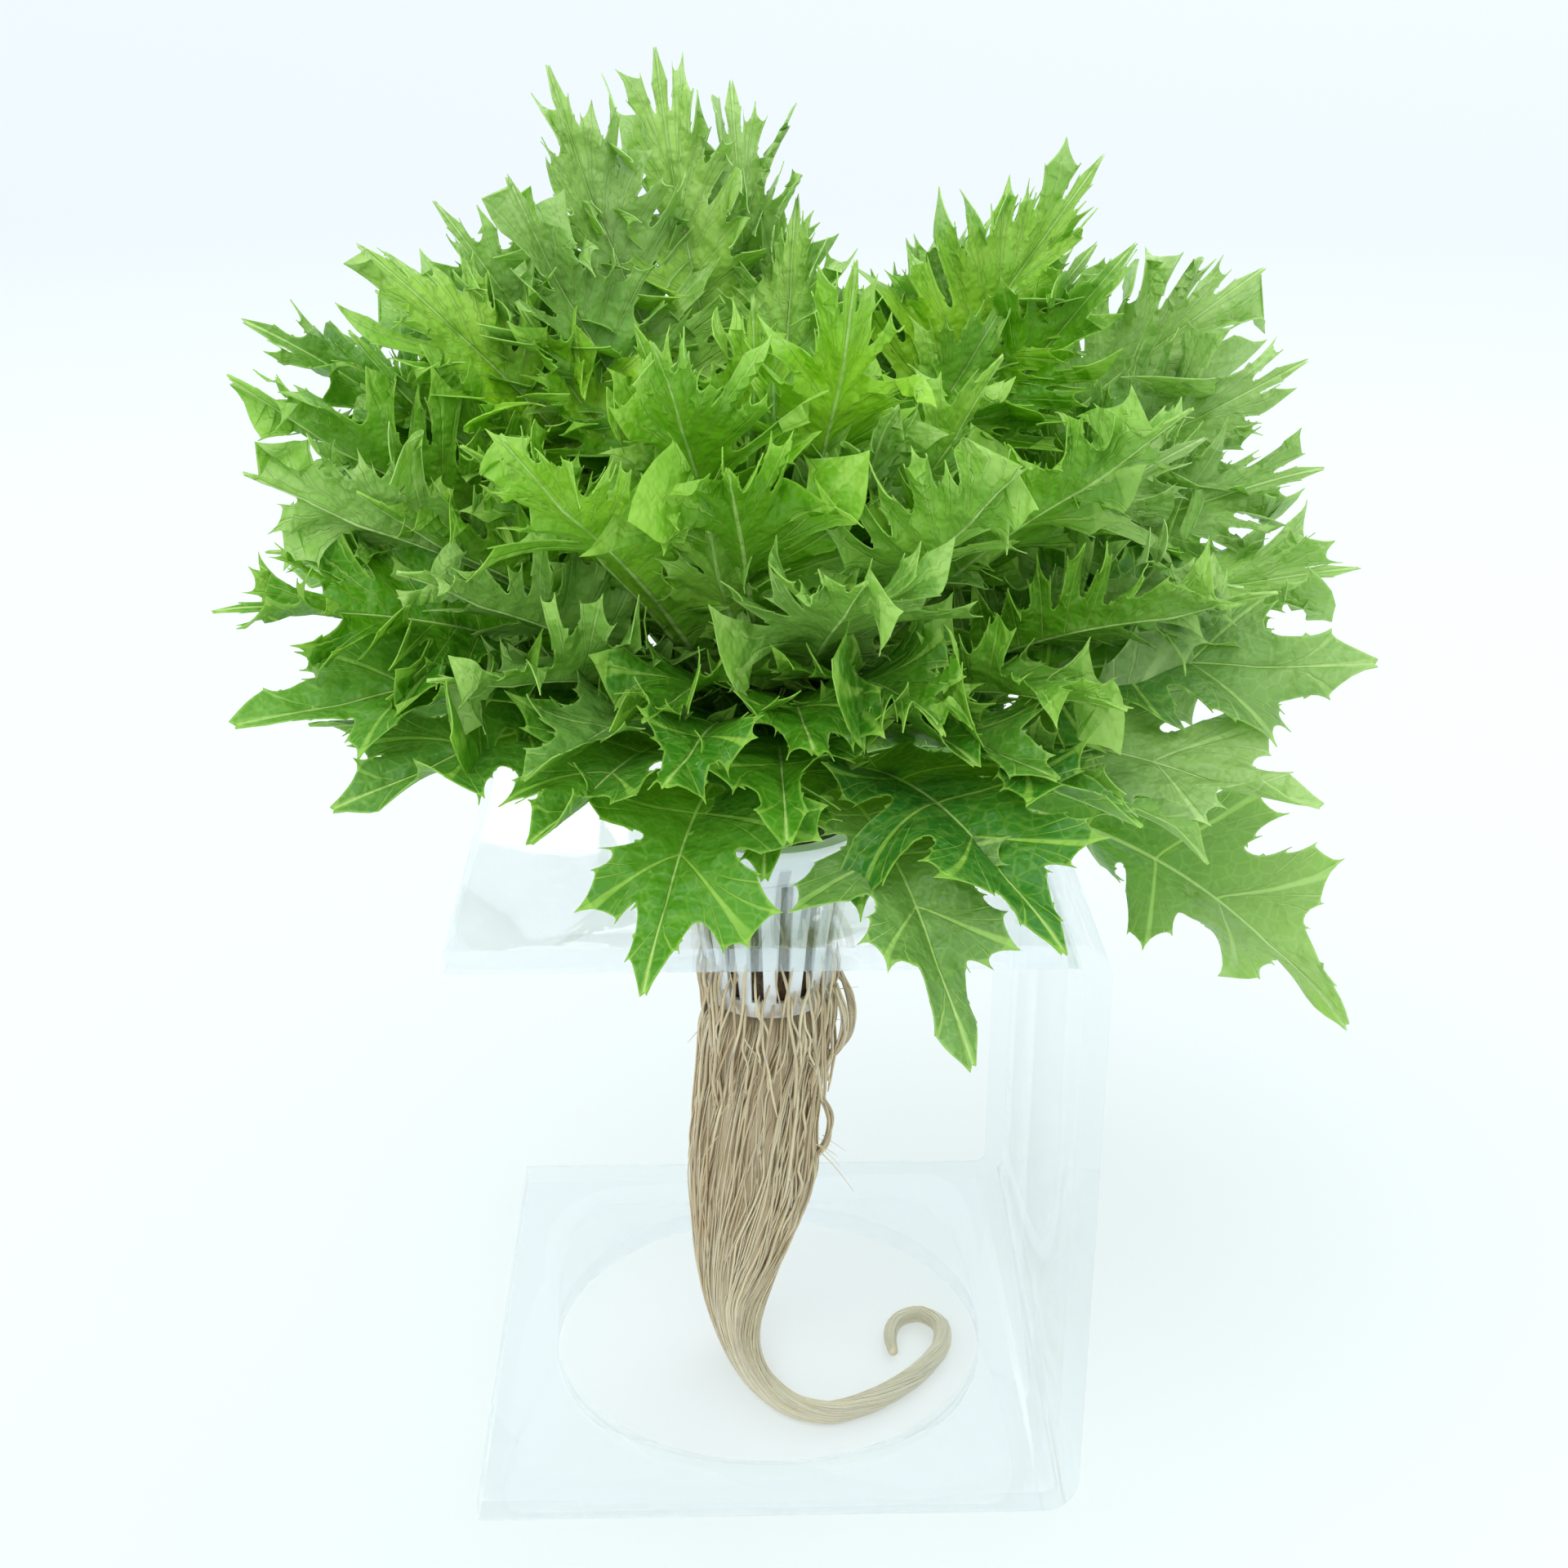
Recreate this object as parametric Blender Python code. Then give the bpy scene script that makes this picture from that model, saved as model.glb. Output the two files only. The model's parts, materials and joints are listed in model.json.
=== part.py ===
"""Green leaf lettuce in a slotted net pot, held up by a clear bent display stand.

Metres, +Z up, the front looks towards -Y. The model stands on z = 0 with the middle of
its bounding box at x = 0, y = 0. Run with: blender --background --python part.py
"""
import math

import bmesh
import bpy
import numpy as np

MM = 0.001
GAP = 0.3 * MM

# Display stand: one clear sheet bent into a C that is open to the left
STAND_WIDTH = 150 * MM
STAND_DEPTH = 155 * MM
STAND_HEIGHT = 158 * MM
SHEET = 6 * MM
BEND_RADIUS = 9 * MM
BEND_STEPS = 5
POT_HOLE_RADIUS = 24.2 * MM
POT_HOLE_STEPS = 48
BASE_HOLE_RADIUS = 58.6 * MM
BASE_HOLE_STEPS = 72

# Axis of the pot, the plug, the stem and both holes
AXIS_X = -1.0 * MM
AXIS_Y = -5.4 * MM

# Net pot
POT_RIM_RADIUS = 26 * MM
POT_RIM_THICKNESS = 2.2 * MM
POT_TOP_RADIUS = 23.2 * MM
POT_BOTTOM_RADIUS = 15.5 * MM
POT_BOTTOM = 110 * MM
POT_WALL = 1.2 * MM
POT_FLOOR = 1.5 * MM
POT_STEPS = 48
ROOT_HOLE_RADIUS = 6.5 * MM
SLOT_COUNT = 16
SLOT_WIDTH = 3.2 * MM
SLOT_LOW = 114.5 * MM
SLOT_HIGH = 149.5 * MM
FLOOR_SLOT_COUNT = 8
FLOOR_SLOT_WIDTH = 2.2 * MM
FLOOR_SLOT_INNER = 8.0 * MM
FLOOR_SLOT_OUTER = 13.0 * MM

# Growing plug, with a plain hole through it for the stem and the root neck
PLUG_TOP = 152 * MM
PLUG_CLEARANCE = 0.9 * MM
PLUG_HOLE_RADIUS = 5.2 * MM
PLUG_ROUGHNESS = 0.35 * MM
PLUG_RINGS = 6
PLUG_STEPS = 28

# Short stem, as (radius, height) up its outside
STEM_PROFILE = ((4.7, 131), (4.7, 154), (8.5, 163), (9.0, 170), (7.0, 184), (4.0, 193))
STEM_STEPS = 10

# Root bundle: centre line with its half width and how flat it is, all in millimetres
ROOT_PATH = (
    (-1.0, -5.4, 109.3, 14.6, 1.0), (-1.0, -5.4, 106, 16.6, 1.0), (-1.8, -4.6, 99, 17.4, 0.92),
    (-3.0, -2.5, 88, 17.0, 0.85),
    (-4.5, -1.0, 70, 17.0, 0.8), (-5.5, 0.0, 50, 17.3, 0.75), (-7.5, 0.0, 35, 14.5, 0.75),
    (-9.5, -1.0, 22, 11.5, 0.8), (-10.0, -5.0, 12.5, 8.5, 0.8), (-9.0, -12.5, 6.8, 5.8, 0.85),
    (-6.5, -22.0, 4.6, 4.1, 0.95), (-1.5, -32.0, 3.8, 3.4, 1.0), (5.5, -39.5, 3.5, 3.1, 1.0),
    (14.5, -42.0, 3.4, 3.0, 1.0), (24.0, -38.5, 3.4, 3.0, 1.0), (33.5, -31.5, 3.3, 2.9, 1.0),
    (42.0, -22.0, 3.1, 2.7, 1.0), (47.2, -11.5, 2.9, 2.5, 1.0), (47.2, -3.2, 2.8, 2.4, 1.0),
    (42.0, 1.8, 2.7, 2.3, 1.0), (35.8, -0.6, 2.6, 2.1, 1.0), (33.0, -7.6, 2.3, 1.9, 1.0),
    (33.4, -14.5, 1.9, 1.4, 1.0))
ROOT_SIDES = 14
ROOT_RINGS = 46
ROOT_RIDGES = 5
ROOT_RIDGE_DEPTH = 0.06
ROOT_RIDGE_TWIST = 0.11
ROOT_NECK_RADIUS = 4.5 * MM
ROOT_NECK_TOP = 129.5 * MM
ROOT_NECK_SIDES = 8
ROOT_NECK_SINK = 4 * MM

# Root strands that climb the outside of the pot from the bundle
STRAND_COUNT = 15
STRAND_RADIUS = 1.15 * MM
STRAND_SIDES = 5
STRAND_POINTS = 5
LOOP_POINTS = 8
STRAND_LOW = 97 * MM
STRAND_HIGH = (117 * MM, 125 * MM)
STRAND_OFF_WALL = 1.7 * MM
STRAND_SINK = 3 * MM
STRAND_TWIST = 6.0

# Loose loops of root at the right of the bundle, in millimetres
ROOT_LOOPS = (
    ((17.0, -6.0, 116), (20.5, -7.0, 108), (20.3, -7.0, 99), (16.5, -5.0, 91), (10.0, -3.5, 86)),
    ((16.0, -11.5, 114), (18.6, -11.0, 105), (17.6, -9.0, 96), (13.0, -6.5, 89), (8.0, -5.0, 84)),
    ((12.5, -3.0, 78), (15.5, -3.5, 71), (14.5, -2.5, 62), (9.5, -2.0, 55)))

# Leaves: azimuth (0 right, 90 back, 180 left, 270 front),
# reach of the tip from the axis, rise of the tip above the crown, arch of the midrib, half
# width of the blade and roll about the midrib. Degrees and millimetres.
TALL_LEAVES = (
    (150, 64, 170, 12, 28, -30), (123, 54, 173, 10, 26, -15), (98, 60, 166, 12, 28, -10),
    (75, 30, 142, 14, 26, 0), (172, 64, 148, 12, 28, -50), (20, 86, 151, 14, 34, 60),
    (44, 66, 130, 16, 30, 35), (62, 48, 120, 16, 28, 15), (78, 88, 108, 18, 32, 0))
LEFT_LEAVES = (
    (163, 84, 140, 16, 34, -45), (138, 90, 134, 16, 32, -25), (178, 95, 134, 18, 32, -60),
    (174, 125, 115, 20, 36, -50), (152, 112, 116, 20, 32, -30), (186, 126, 103, 18, 36, 50),
    (193, 122, 84, 22, 34, 45), (198, 131, 60, 26, 36, -25), (205, 130, 34, 38, 40, -25),
    (216, 117, 20, 42, 40, -15))
FRONT_LEAVES = (
    (242, 107, 23, 42, 32, 0), (257, 103, 38, 38, 30, 0), (255, 106, -4, 56, 38, 0),
    (289, 116, -18, 54, 34, 0), (300, 115, 2, 46, 38, 0), (315, 108, 19, 40, 36, -15),
    (288, 60, 136, 12, 28, 0), (263, 84, 104, 14, 38, 0), (250, 74, 126, 12, 32, 0),
    (234, 96, 104, 16, 34, 15), (281, 92, 80, 16, 34, 0), (306, 88, 98, 16, 34, -10),
    (330, 104, 104, 18, 32, -30))
RIGHT_LEAVES = (
    (345, 144, -48, 38, 42, -70), (336, 134, 12, 32, 38, 20), (350, 144, 36, 28, 40, 35),
    (4, 146, 52, 24, 36, 45), (11, 143, 75, 22, 34, 50), (20, 147, 95, 20, 38, 55),
    (30, 152, 115, 18, 36, 50))
BACK_LEAVES = (
    (45, 138, 36, 34, 36, 0), (60, 126, 80, 26, 36, 0), (82, 134, 38, 34, 38, 0),
    (102, 126, 84, 24, 36, 0), (122, 136, 44, 32, 38, 0), (158, 134, 38, 34, 36, 0))
LEAVES = TALL_LEAVES + LEFT_LEAVES + FRONT_LEAVES + RIGHT_LEAVES + BACK_LEAVES

# One leaf. Its ribs leave the midrib between BLADE_START and BLADE_END, as shares of the
# midrib's length, and are turned away from it by up to RIB_TURN degrees.
CROWN_HEIGHT = 165 * MM
CROWN_RISE = 20 * MM
LEAF_START = 5.5 * MM
LEAF_STEPS = 33
RIB_STEPS = 12
LOBES = 3
TIP_RIBS = (3.12, 3.5)
BLADE_START = 0.28
BLADE_END = 0.82
PETIOLE_HALF = (2.6 * MM, 5.0 * MM)
LOBE_DEPTH = 0.40
LOBE_SIZES = (0.82, 1.12)
LOBE_FLARE = 0.5
BASE_WIDTH = 0.18
WIDEST_AT = 0.55
RIB_TURN = 78
TOOTH_HEIGHT = 3.5 * MM
MARGIN_THICKNESS = 0.9 * MM
KEEL_THICKNESS = (3.2 * MM, 0.9 * MM)

# Waves of a leaf's blade, in degrees: cup of the whole blade, lobes up and down, and ripple
CUP_ANGLE = 14
WAVE_ANGLE = 38
RIPPLE_ANGLE = 27
TIP_WAVE_ANGLES = (-27, 16)

# Room kept between the leaves and what they lie over
CLEAR_OF_STAND = 2.2 * MM
CLEAR_OF_RIM = 1.5 * MM


def smooth(low, high, value):
    """0 at low, 1 at high, with an even start and end."""
    x = np.clip((value - low) / (high - low), 0.0, 1.0)
    return x * x * (3.0 - 2.0 * x)


def clear_scene():
    for item in list(bpy.data.objects):
        bpy.data.objects.remove(item, do_unlink=True)


def material(name, colour, roughness, alpha=1.0, transmission=0.0):
    mat = bpy.data.materials.new(name)
    mat.use_nodes = True
    shader = mat.node_tree.nodes["Principled BSDF"]
    shader.inputs["Base Color"].default_value = (*colour, 1.0)
    shader.inputs["Roughness"].default_value = roughness
    shader.inputs["Metallic"].default_value = 0.0
    shader.inputs["Alpha"].default_value = alpha
    shader.inputs["Transmission Weight"].default_value = transmission
    return mat


def mesh_object(name, points, faces, mat=None):
    """Object from a list of points and faces."""
    mesh = bpy.data.meshes.new(name)
    mesh.from_pydata([tuple(map(float, p)) for p in points], [], faces)
    mesh.validate()
    if mat:
        mesh.materials.append(mat)
    item = bpy.data.objects.new(name, mesh)
    bpy.context.scene.collection.objects.link(item)
    return item


def boolean(item, cutter, operation, solver):
    """Apply a Boolean with one object or with a collection, and remove what it used."""
    mod = item.modifiers.new("Boolean", "BOOLEAN")
    mod.operation = operation
    mod.solver = solver
    if isinstance(cutter, bpy.types.Collection):
        mod.operand_type = "COLLECTION"
        mod.collection = cutter
    else:
        mod.object = cutter
    graph = bpy.context.evaluated_depsgraph_get()
    result = bpy.data.meshes.new_from_object(item.evaluated_get(graph))
    item.modifiers.clear()
    item.data = result
    if isinstance(cutter, bpy.types.Collection):
        for used in list(cutter.objects):
            bpy.data.objects.remove(used, do_unlink=True)
        bpy.data.collections.remove(cutter)
    else:
        bpy.data.objects.remove(cutter, do_unlink=True)


def gathered(name, items):
    """Collection that holds these objects and nothing else."""
    group = bpy.data.collections.new(name)
    bpy.context.scene.collection.children.link(group)
    for item in items:
        bpy.context.scene.collection.objects.unlink(item)
        group.objects.link(item)
    return group


def keep_largest_body(item):
    """Drop loose scraps and the skins of sealed pockets, so that one closed body is left."""
    bm = bmesh.new()
    bm.from_mesh(item.data)
    seen = set()
    bodies = []
    for start in bm.faces:
        if start.index in seen:
            continue
        seen.add(start.index)
        body, queue = [], [start]
        while queue:
            face = queue.pop()
            body.append(face)
            for edge in face.edges:
                for other in edge.link_faces:
                    if other.index not in seen:
                        seen.add(other.index)
                        queue.append(other)
        bodies.append(body)
    bodies.sort(key=len)
    for body in bodies[:-1]:
        bmesh.ops.delete(bm, geom=body, context="FACES")
    bm.to_mesh(item.data)
    bm.free()


def revolve(name, profile, steps, mat=None, offset=None):
    """Closed ring of a closed profile of (radius, height) about the pot's axis."""
    count = len(profile)
    points, faces = [], []
    for i in range(steps):
        angle = 2.0 * math.pi * i / steps
        for j, (radius, height) in enumerate(profile):
            if offset:
                radius += offset(i, j)
            x = AXIS_X + radius * math.cos(angle)
            y = AXIS_Y + radius * math.sin(angle)
            points.append((x, y, height))
    for i in range(steps):
        k = (i + 1) % steps
        for j in range(count):
            m = (j + 1) % count
            faces.append((i * count + j, k * count + j, k * count + m, i * count + m))
    return mesh_object(name, points, faces, mat)


def turned(name, profile, steps, mat=None):
    """Solid turned from (radius, height) points up its outside."""
    points, faces = [], []
    for radius, height in profile:
        for i in range(steps):
            angle = 2.0 * math.pi * i / steps
            x = AXIS_X + radius * math.cos(angle)
            y = AXIS_Y + radius * math.sin(angle)
            points.append((x, y, height))
    for j in range(len(profile) - 1):
        for i in range(steps):
            k = (i + 1) % steps
            low, high = j * steps, (j + 1) * steps
            faces.append((low + i, low + k, high + k, high + i))
    faces.append(tuple(reversed(range(steps))))
    faces.append(tuple(range((len(profile) - 1) * steps, len(profile) * steps)))
    return mesh_object(name, points, faces, mat)


def box(name, low, high, angle=0.0):
    """Box between two corners, turned by an angle about the pot's axis."""
    cos, sin = math.cos(angle), math.sin(angle)
    points = []
    for z in (low[2], high[2]):
        for x, y in ((low[0], low[1]), (high[0], low[1]), (high[0], high[1]), (low[0], high[1])):
            points.append((AXIS_X + x * cos - y * sin, AXIS_Y + x * sin + y * cos, z))
    faces = [(3, 2, 1, 0), (4, 5, 6, 7), (0, 1, 5, 4), (1, 2, 6, 5), (2, 3, 7, 6), (3, 0, 4, 7)]
    return mesh_object(name, points, faces)


def arc(centre, radius, start, end):
    """Points of a bend in the XZ plane, angles in degrees."""
    angles = np.radians(np.linspace(start, end, BEND_STEPS + 1))
    return [(centre[0] + radius * math.cos(a), centre[1] + radius * math.sin(a)) for a in angles]


def stand_outline():
    """The bent sheet seen from the front, anticlockwise from its lower left corner."""
    half = STAND_WIDTH / 2
    bend_x = half - BEND_RADIUS
    low, high = (bend_x, BEND_RADIUS), (bend_x, STAND_HEIGHT - BEND_RADIUS)
    inner = BEND_RADIUS - SHEET
    outline = [(-half, 0.0)]
    outline += arc(low, BEND_RADIUS, -90, 0)
    outline += arc(high, BEND_RADIUS, 0, 90)
    outline += [(-half, STAND_HEIGHT), (-half, STAND_HEIGHT - SHEET)]
    outline += arc(high, inner, 90, 0)
    outline += arc(low, inner, 0, -90)
    outline.append((-half, SHEET))
    return outline


def make_stand():
    outline = stand_outline()
    count = len(outline)
    front = [(x, -STAND_DEPTH / 2, z) for x, z in outline]
    back = [(x, STAND_DEPTH / 2, z) for x, z in outline]
    faces = [tuple(range(count)), tuple(reversed(range(count, 2 * count)))]
    for i in range(count):
        k = (i + 1) % count
        faces.append((k, i, count + i, count + k))
    clear = material("clear_sheet", (0.86, 0.93, 0.95), 0.06, 0.35, 0.9)
    stand = mesh_object("display_stand", front + back, faces, clear)
    over = SHEET
    pot_hole = ((POT_HOLE_RADIUS, STAND_HEIGHT - SHEET - over), (POT_HOLE_RADIUS, STAND_HEIGHT + over))
    base_hole = ((BASE_HOLE_RADIUS, -over), (BASE_HOLE_RADIUS, SHEET + over))
    boolean(stand, turned("pot_hole", pot_hole, POT_HOLE_STEPS), "DIFFERENCE", "EXACT")
    boolean(stand, turned("base_hole", base_hole, BASE_HOLE_STEPS), "DIFFERENCE", "EXACT")
    return stand


def make_pot():
    rim_low = STAND_HEIGHT + GAP
    rim_high = rim_low + POT_RIM_THICKNESS
    profile = (
        (POT_BOTTOM_RADIUS, POT_BOTTOM), (POT_TOP_RADIUS, rim_low), (POT_RIM_RADIUS, rim_low),
        (POT_RIM_RADIUS, rim_high), (POT_TOP_RADIUS - POT_WALL, rim_high),
        (POT_BOTTOM_RADIUS - POT_WALL, POT_BOTTOM + POT_FLOOR),
        (ROOT_HOLE_RADIUS, POT_BOTTOM + POT_FLOOR), (ROOT_HOLE_RADIUS, POT_BOTTOM))
    pot = revolve("net_pot", profile, POT_STEPS, material("white_plastic", (0.86, 0.88, 0.88), 0.4))
    half = SLOT_WIDTH / 2
    cutters = []
    for i in range(SLOT_COUNT):
        angle = 2.0 * math.pi * (i + 0.5) / SLOT_COUNT
        low = (POT_BOTTOM_RADIUS - 4 * POT_WALL, -half, SLOT_LOW)
        high = (POT_RIM_RADIUS, half, SLOT_HIGH)
        cutters.append(box(f"slot_{i}", low, high, angle))
    half = FLOOR_SLOT_WIDTH / 2
    for i in range(FLOOR_SLOT_COUNT):
        angle = 2.0 * math.pi * i / FLOOR_SLOT_COUNT
        low = (FLOOR_SLOT_INNER, -half, POT_BOTTOM - POT_FLOOR)
        high = (FLOOR_SLOT_OUTER, half, POT_BOTTOM + 2 * POT_FLOOR)
        cutters.append(box(f"floor_slot_{i}", low, high, angle))
    boolean(pot, gathered("pot_slots", cutters), "DIFFERENCE", "EXACT")
    return pot


def pot_inner_radius(height):
    """Inside radius of the pot's wall at a height."""
    low, high = POT_BOTTOM + POT_FLOOR, STAND_HEIGHT + GAP + POT_RIM_THICKNESS
    slope = (POT_TOP_RADIUS - POT_BOTTOM_RADIUS) / (high - low)
    return POT_BOTTOM_RADIUS - POT_WALL + (height - low) * slope


def pot_outer_radius(height):
    """Outside radius of the pot's wall at a height."""
    slope = (POT_TOP_RADIUS - POT_BOTTOM_RADIUS) / (STAND_HEIGHT + GAP - POT_BOTTOM)
    return POT_BOTTOM_RADIUS + (height - POT_BOTTOM) * slope


def make_plug():
    low = POT_BOTTOM + POT_FLOOR + GAP
    heights = np.linspace(low, PLUG_TOP, PLUG_RINGS)
    profile = [(PLUG_HOLE_RADIUS, PLUG_TOP), (PLUG_HOLE_RADIUS, low)]
    profile += [(pot_inner_radius(z) - PLUG_CLEARANCE, z) for z in heights]
    rng = np.random.default_rng(11)
    bumps = rng.uniform(-PLUG_ROUGHNESS, PLUG_ROUGHNESS, (PLUG_STEPS, len(profile)))
    bumps[:, :2] = 0.0
    brown = material("growing_plug", (0.16, 0.11, 0.06), 0.95)
    return revolve("growing_plug", profile, PLUG_STEPS, brown, lambda i, j: bumps[i, j])


def curve_through(points, count):
    """Evenly spaced points on a smooth curve through the given rows of numbers."""
    rows = np.asarray(points, float)
    steps = np.linalg.norm(np.diff(rows[:, :3], axis=0), axis=1)
    knots = np.concatenate(([0.0], np.cumsum(steps)))
    slopes = np.gradient(rows, knots, axis=0)
    out = []
    for s in np.linspace(0.0, knots[-1], count):
        i = min(np.searchsorted(knots, s, side="right") - 1, len(rows) - 2)
        h = knots[i + 1] - knots[i]
        u = (s - knots[i]) / h
        a = (2 * u ** 3 - 3 * u ** 2 + 1) * rows[i] + (u ** 3 - 2 * u ** 2 + u) * h * slopes[i]
        b = (3 * u ** 2 - 2 * u ** 3) * rows[i + 1] + (u ** 3 - u ** 2) * h * slopes[i + 1]
        out.append(a + b)
    return np.array(out)


def tube(name, rows, sides, ridge=None, mat=None):
    """Closed tube. Each row holds a centre, a half width and a ratio of depth to width."""
    centres = rows[:, :3]
    tangents = np.gradient(centres, axis=0)
    tangents /= np.linalg.norm(tangents, axis=1)[:, None]
    across = np.array((1.0, 0.0, 0.0))
    points, faces = [], []
    for row, (centre, tangent) in enumerate(zip(centres, tangents)):
        across = across - tangent * across.dot(tangent)
        across /= np.linalg.norm(across)
        depth = np.cross(tangent, across)
        for i in range(sides):
            angle = 2.0 * math.pi * i / sides
            scale = ridge(row, angle) if ridge else 1.0
            radius = rows[row, 3] * scale
            side = across * math.cos(angle) + depth * math.sin(angle) * rows[row, 4]
            points.append(centre + side * radius)
    for j in range(len(rows) - 1):
        for i in range(sides):
            k = (i + 1) % sides
            low, high = j * sides, (j + 1) * sides
            faces.append((low + i, low + k, high + k, high + i))
    faces.append(tuple(reversed(range(sides))))
    faces.append(tuple(range((len(rows) - 1) * sides, len(rows) * sides)))
    return mesh_object(name, points, faces, mat)


def root_ridge(row, angle):
    """Shallow ridges that wind slowly round the bundle, as bunched strands do."""
    turn = row * ROOT_RIDGE_TWIST
    wave = math.sin(ROOT_RIDGES * angle + turn) + 0.6 * math.sin(2 * angle - 1.7 * turn)
    return 1.0 + ROOT_RIDGE_DEPTH * wave


def strand(name, points, count):
    """Thin root through points in metres."""
    rows = np.array([(*p, STRAND_RADIUS, 1.0) for p in points])
    return tube(name, curve_through(rows, count), STRAND_SIDES)


def make_roots():
    scale = np.array((MM, MM, MM, MM, 1.0))
    rows = curve_through(np.array(ROOT_PATH) * scale, ROOT_RINGS)
    tan = material("root_fibre", (0.62, 0.50, 0.34), 0.6)
    roots = tube("roots", rows, ROOT_SIDES, root_ridge, tan)
    low = ROOT_PATH[0][2] * MM - ROOT_NECK_SINK
    outside = ((ROOT_NECK_RADIUS, low), (ROOT_NECK_RADIUS, ROOT_NECK_TOP))
    neck = turned("neck", outside, ROOT_NECK_SIDES)
    rng = np.random.default_rng(5)
    strands = [neck]
    for i in range(STRAND_COUNT):
        angle = 2.0 * math.pi * (i + rng.uniform(-0.2, 0.2)) / STRAND_COUNT
        high = rng.uniform(*STRAND_HIGH)
        points = []
        for z in np.linspace(high, STRAND_LOW, 4):
            radius = pot_outer_radius(max(z, POT_BOTTOM)) + STRAND_OFF_WALL
            radius -= STRAND_SINK * smooth(POT_BOTTOM, STRAND_LOW, z)
            turn = angle + STRAND_TWIST * (high - z)
            points.append((AXIS_X + radius * math.cos(turn), AXIS_Y + radius * math.sin(turn), z))
        strands.append(strand(f"strand_{i}", points, STRAND_POINTS))
    for i, loop in enumerate(ROOT_LOOPS):
        points = [tuple(MM * c for c in p) for p in loop]
        strands.append(strand(f"loop_{i}", points, LOOP_POINTS))
    boolean(roots, gathered("root_strands", strands), "UNION", "MANIFOLD")
    keep_largest_body(roots)
    return roots


def midrib(leaf):
    """Points of the midrib and its three directions, at even steps, with its length and bend."""
    azimuth, reach, rise, arch, _, roll = leaf
    lift = CROWN_RISE * math.degrees(math.atan2(rise, reach)) / 90
    start = np.array((LEAF_START, CROWN_HEIGHT + max(lift, 0.0)))
    tip = np.array((reach * MM, CROWN_HEIGHT + rise * MM))
    chord = np.linalg.norm(tip - start)
    slope = math.atan2(tip[1] - start[1], tip[0] - start[0])
    half_turn = math.radians(arch)
    length = chord * half_turn / math.sin(half_turn)
    s = np.linspace(0.0, 1.0, LEAF_STEPS)
    elevation = slope + half_turn * (1.0 - 2.0 * s)
    heading = math.radians(azimuth)
    out = np.array((math.cos(heading), math.sin(heading), 0.0))
    left = np.array((-math.sin(heading), math.cos(heading), 0.0))
    up = np.array((0.0, 0.0, 1.0))
    along = np.outer(np.cos(elevation), out) + np.outer(np.sin(elevation), up)
    steps = 0.5 * (along[1:] + along[:-1]) * length / (LEAF_STEPS - 1)
    origin = np.array((AXIS_X, AXIS_Y, 0.0)) + out * start[0] + up * start[1]
    line = np.vstack((origin, origin + np.cumsum(steps, axis=0)))
    turn = np.radians(roll) * smooth(0.05, 0.6, s)
    plain = np.cross(along, left)
    side = np.cos(turn)[:, None] * left + np.sin(turn)[:, None] * plain
    normal = np.cross(along, side)
    return s, line, along, side, normal, length, 2.0 * half_turn / length


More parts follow.
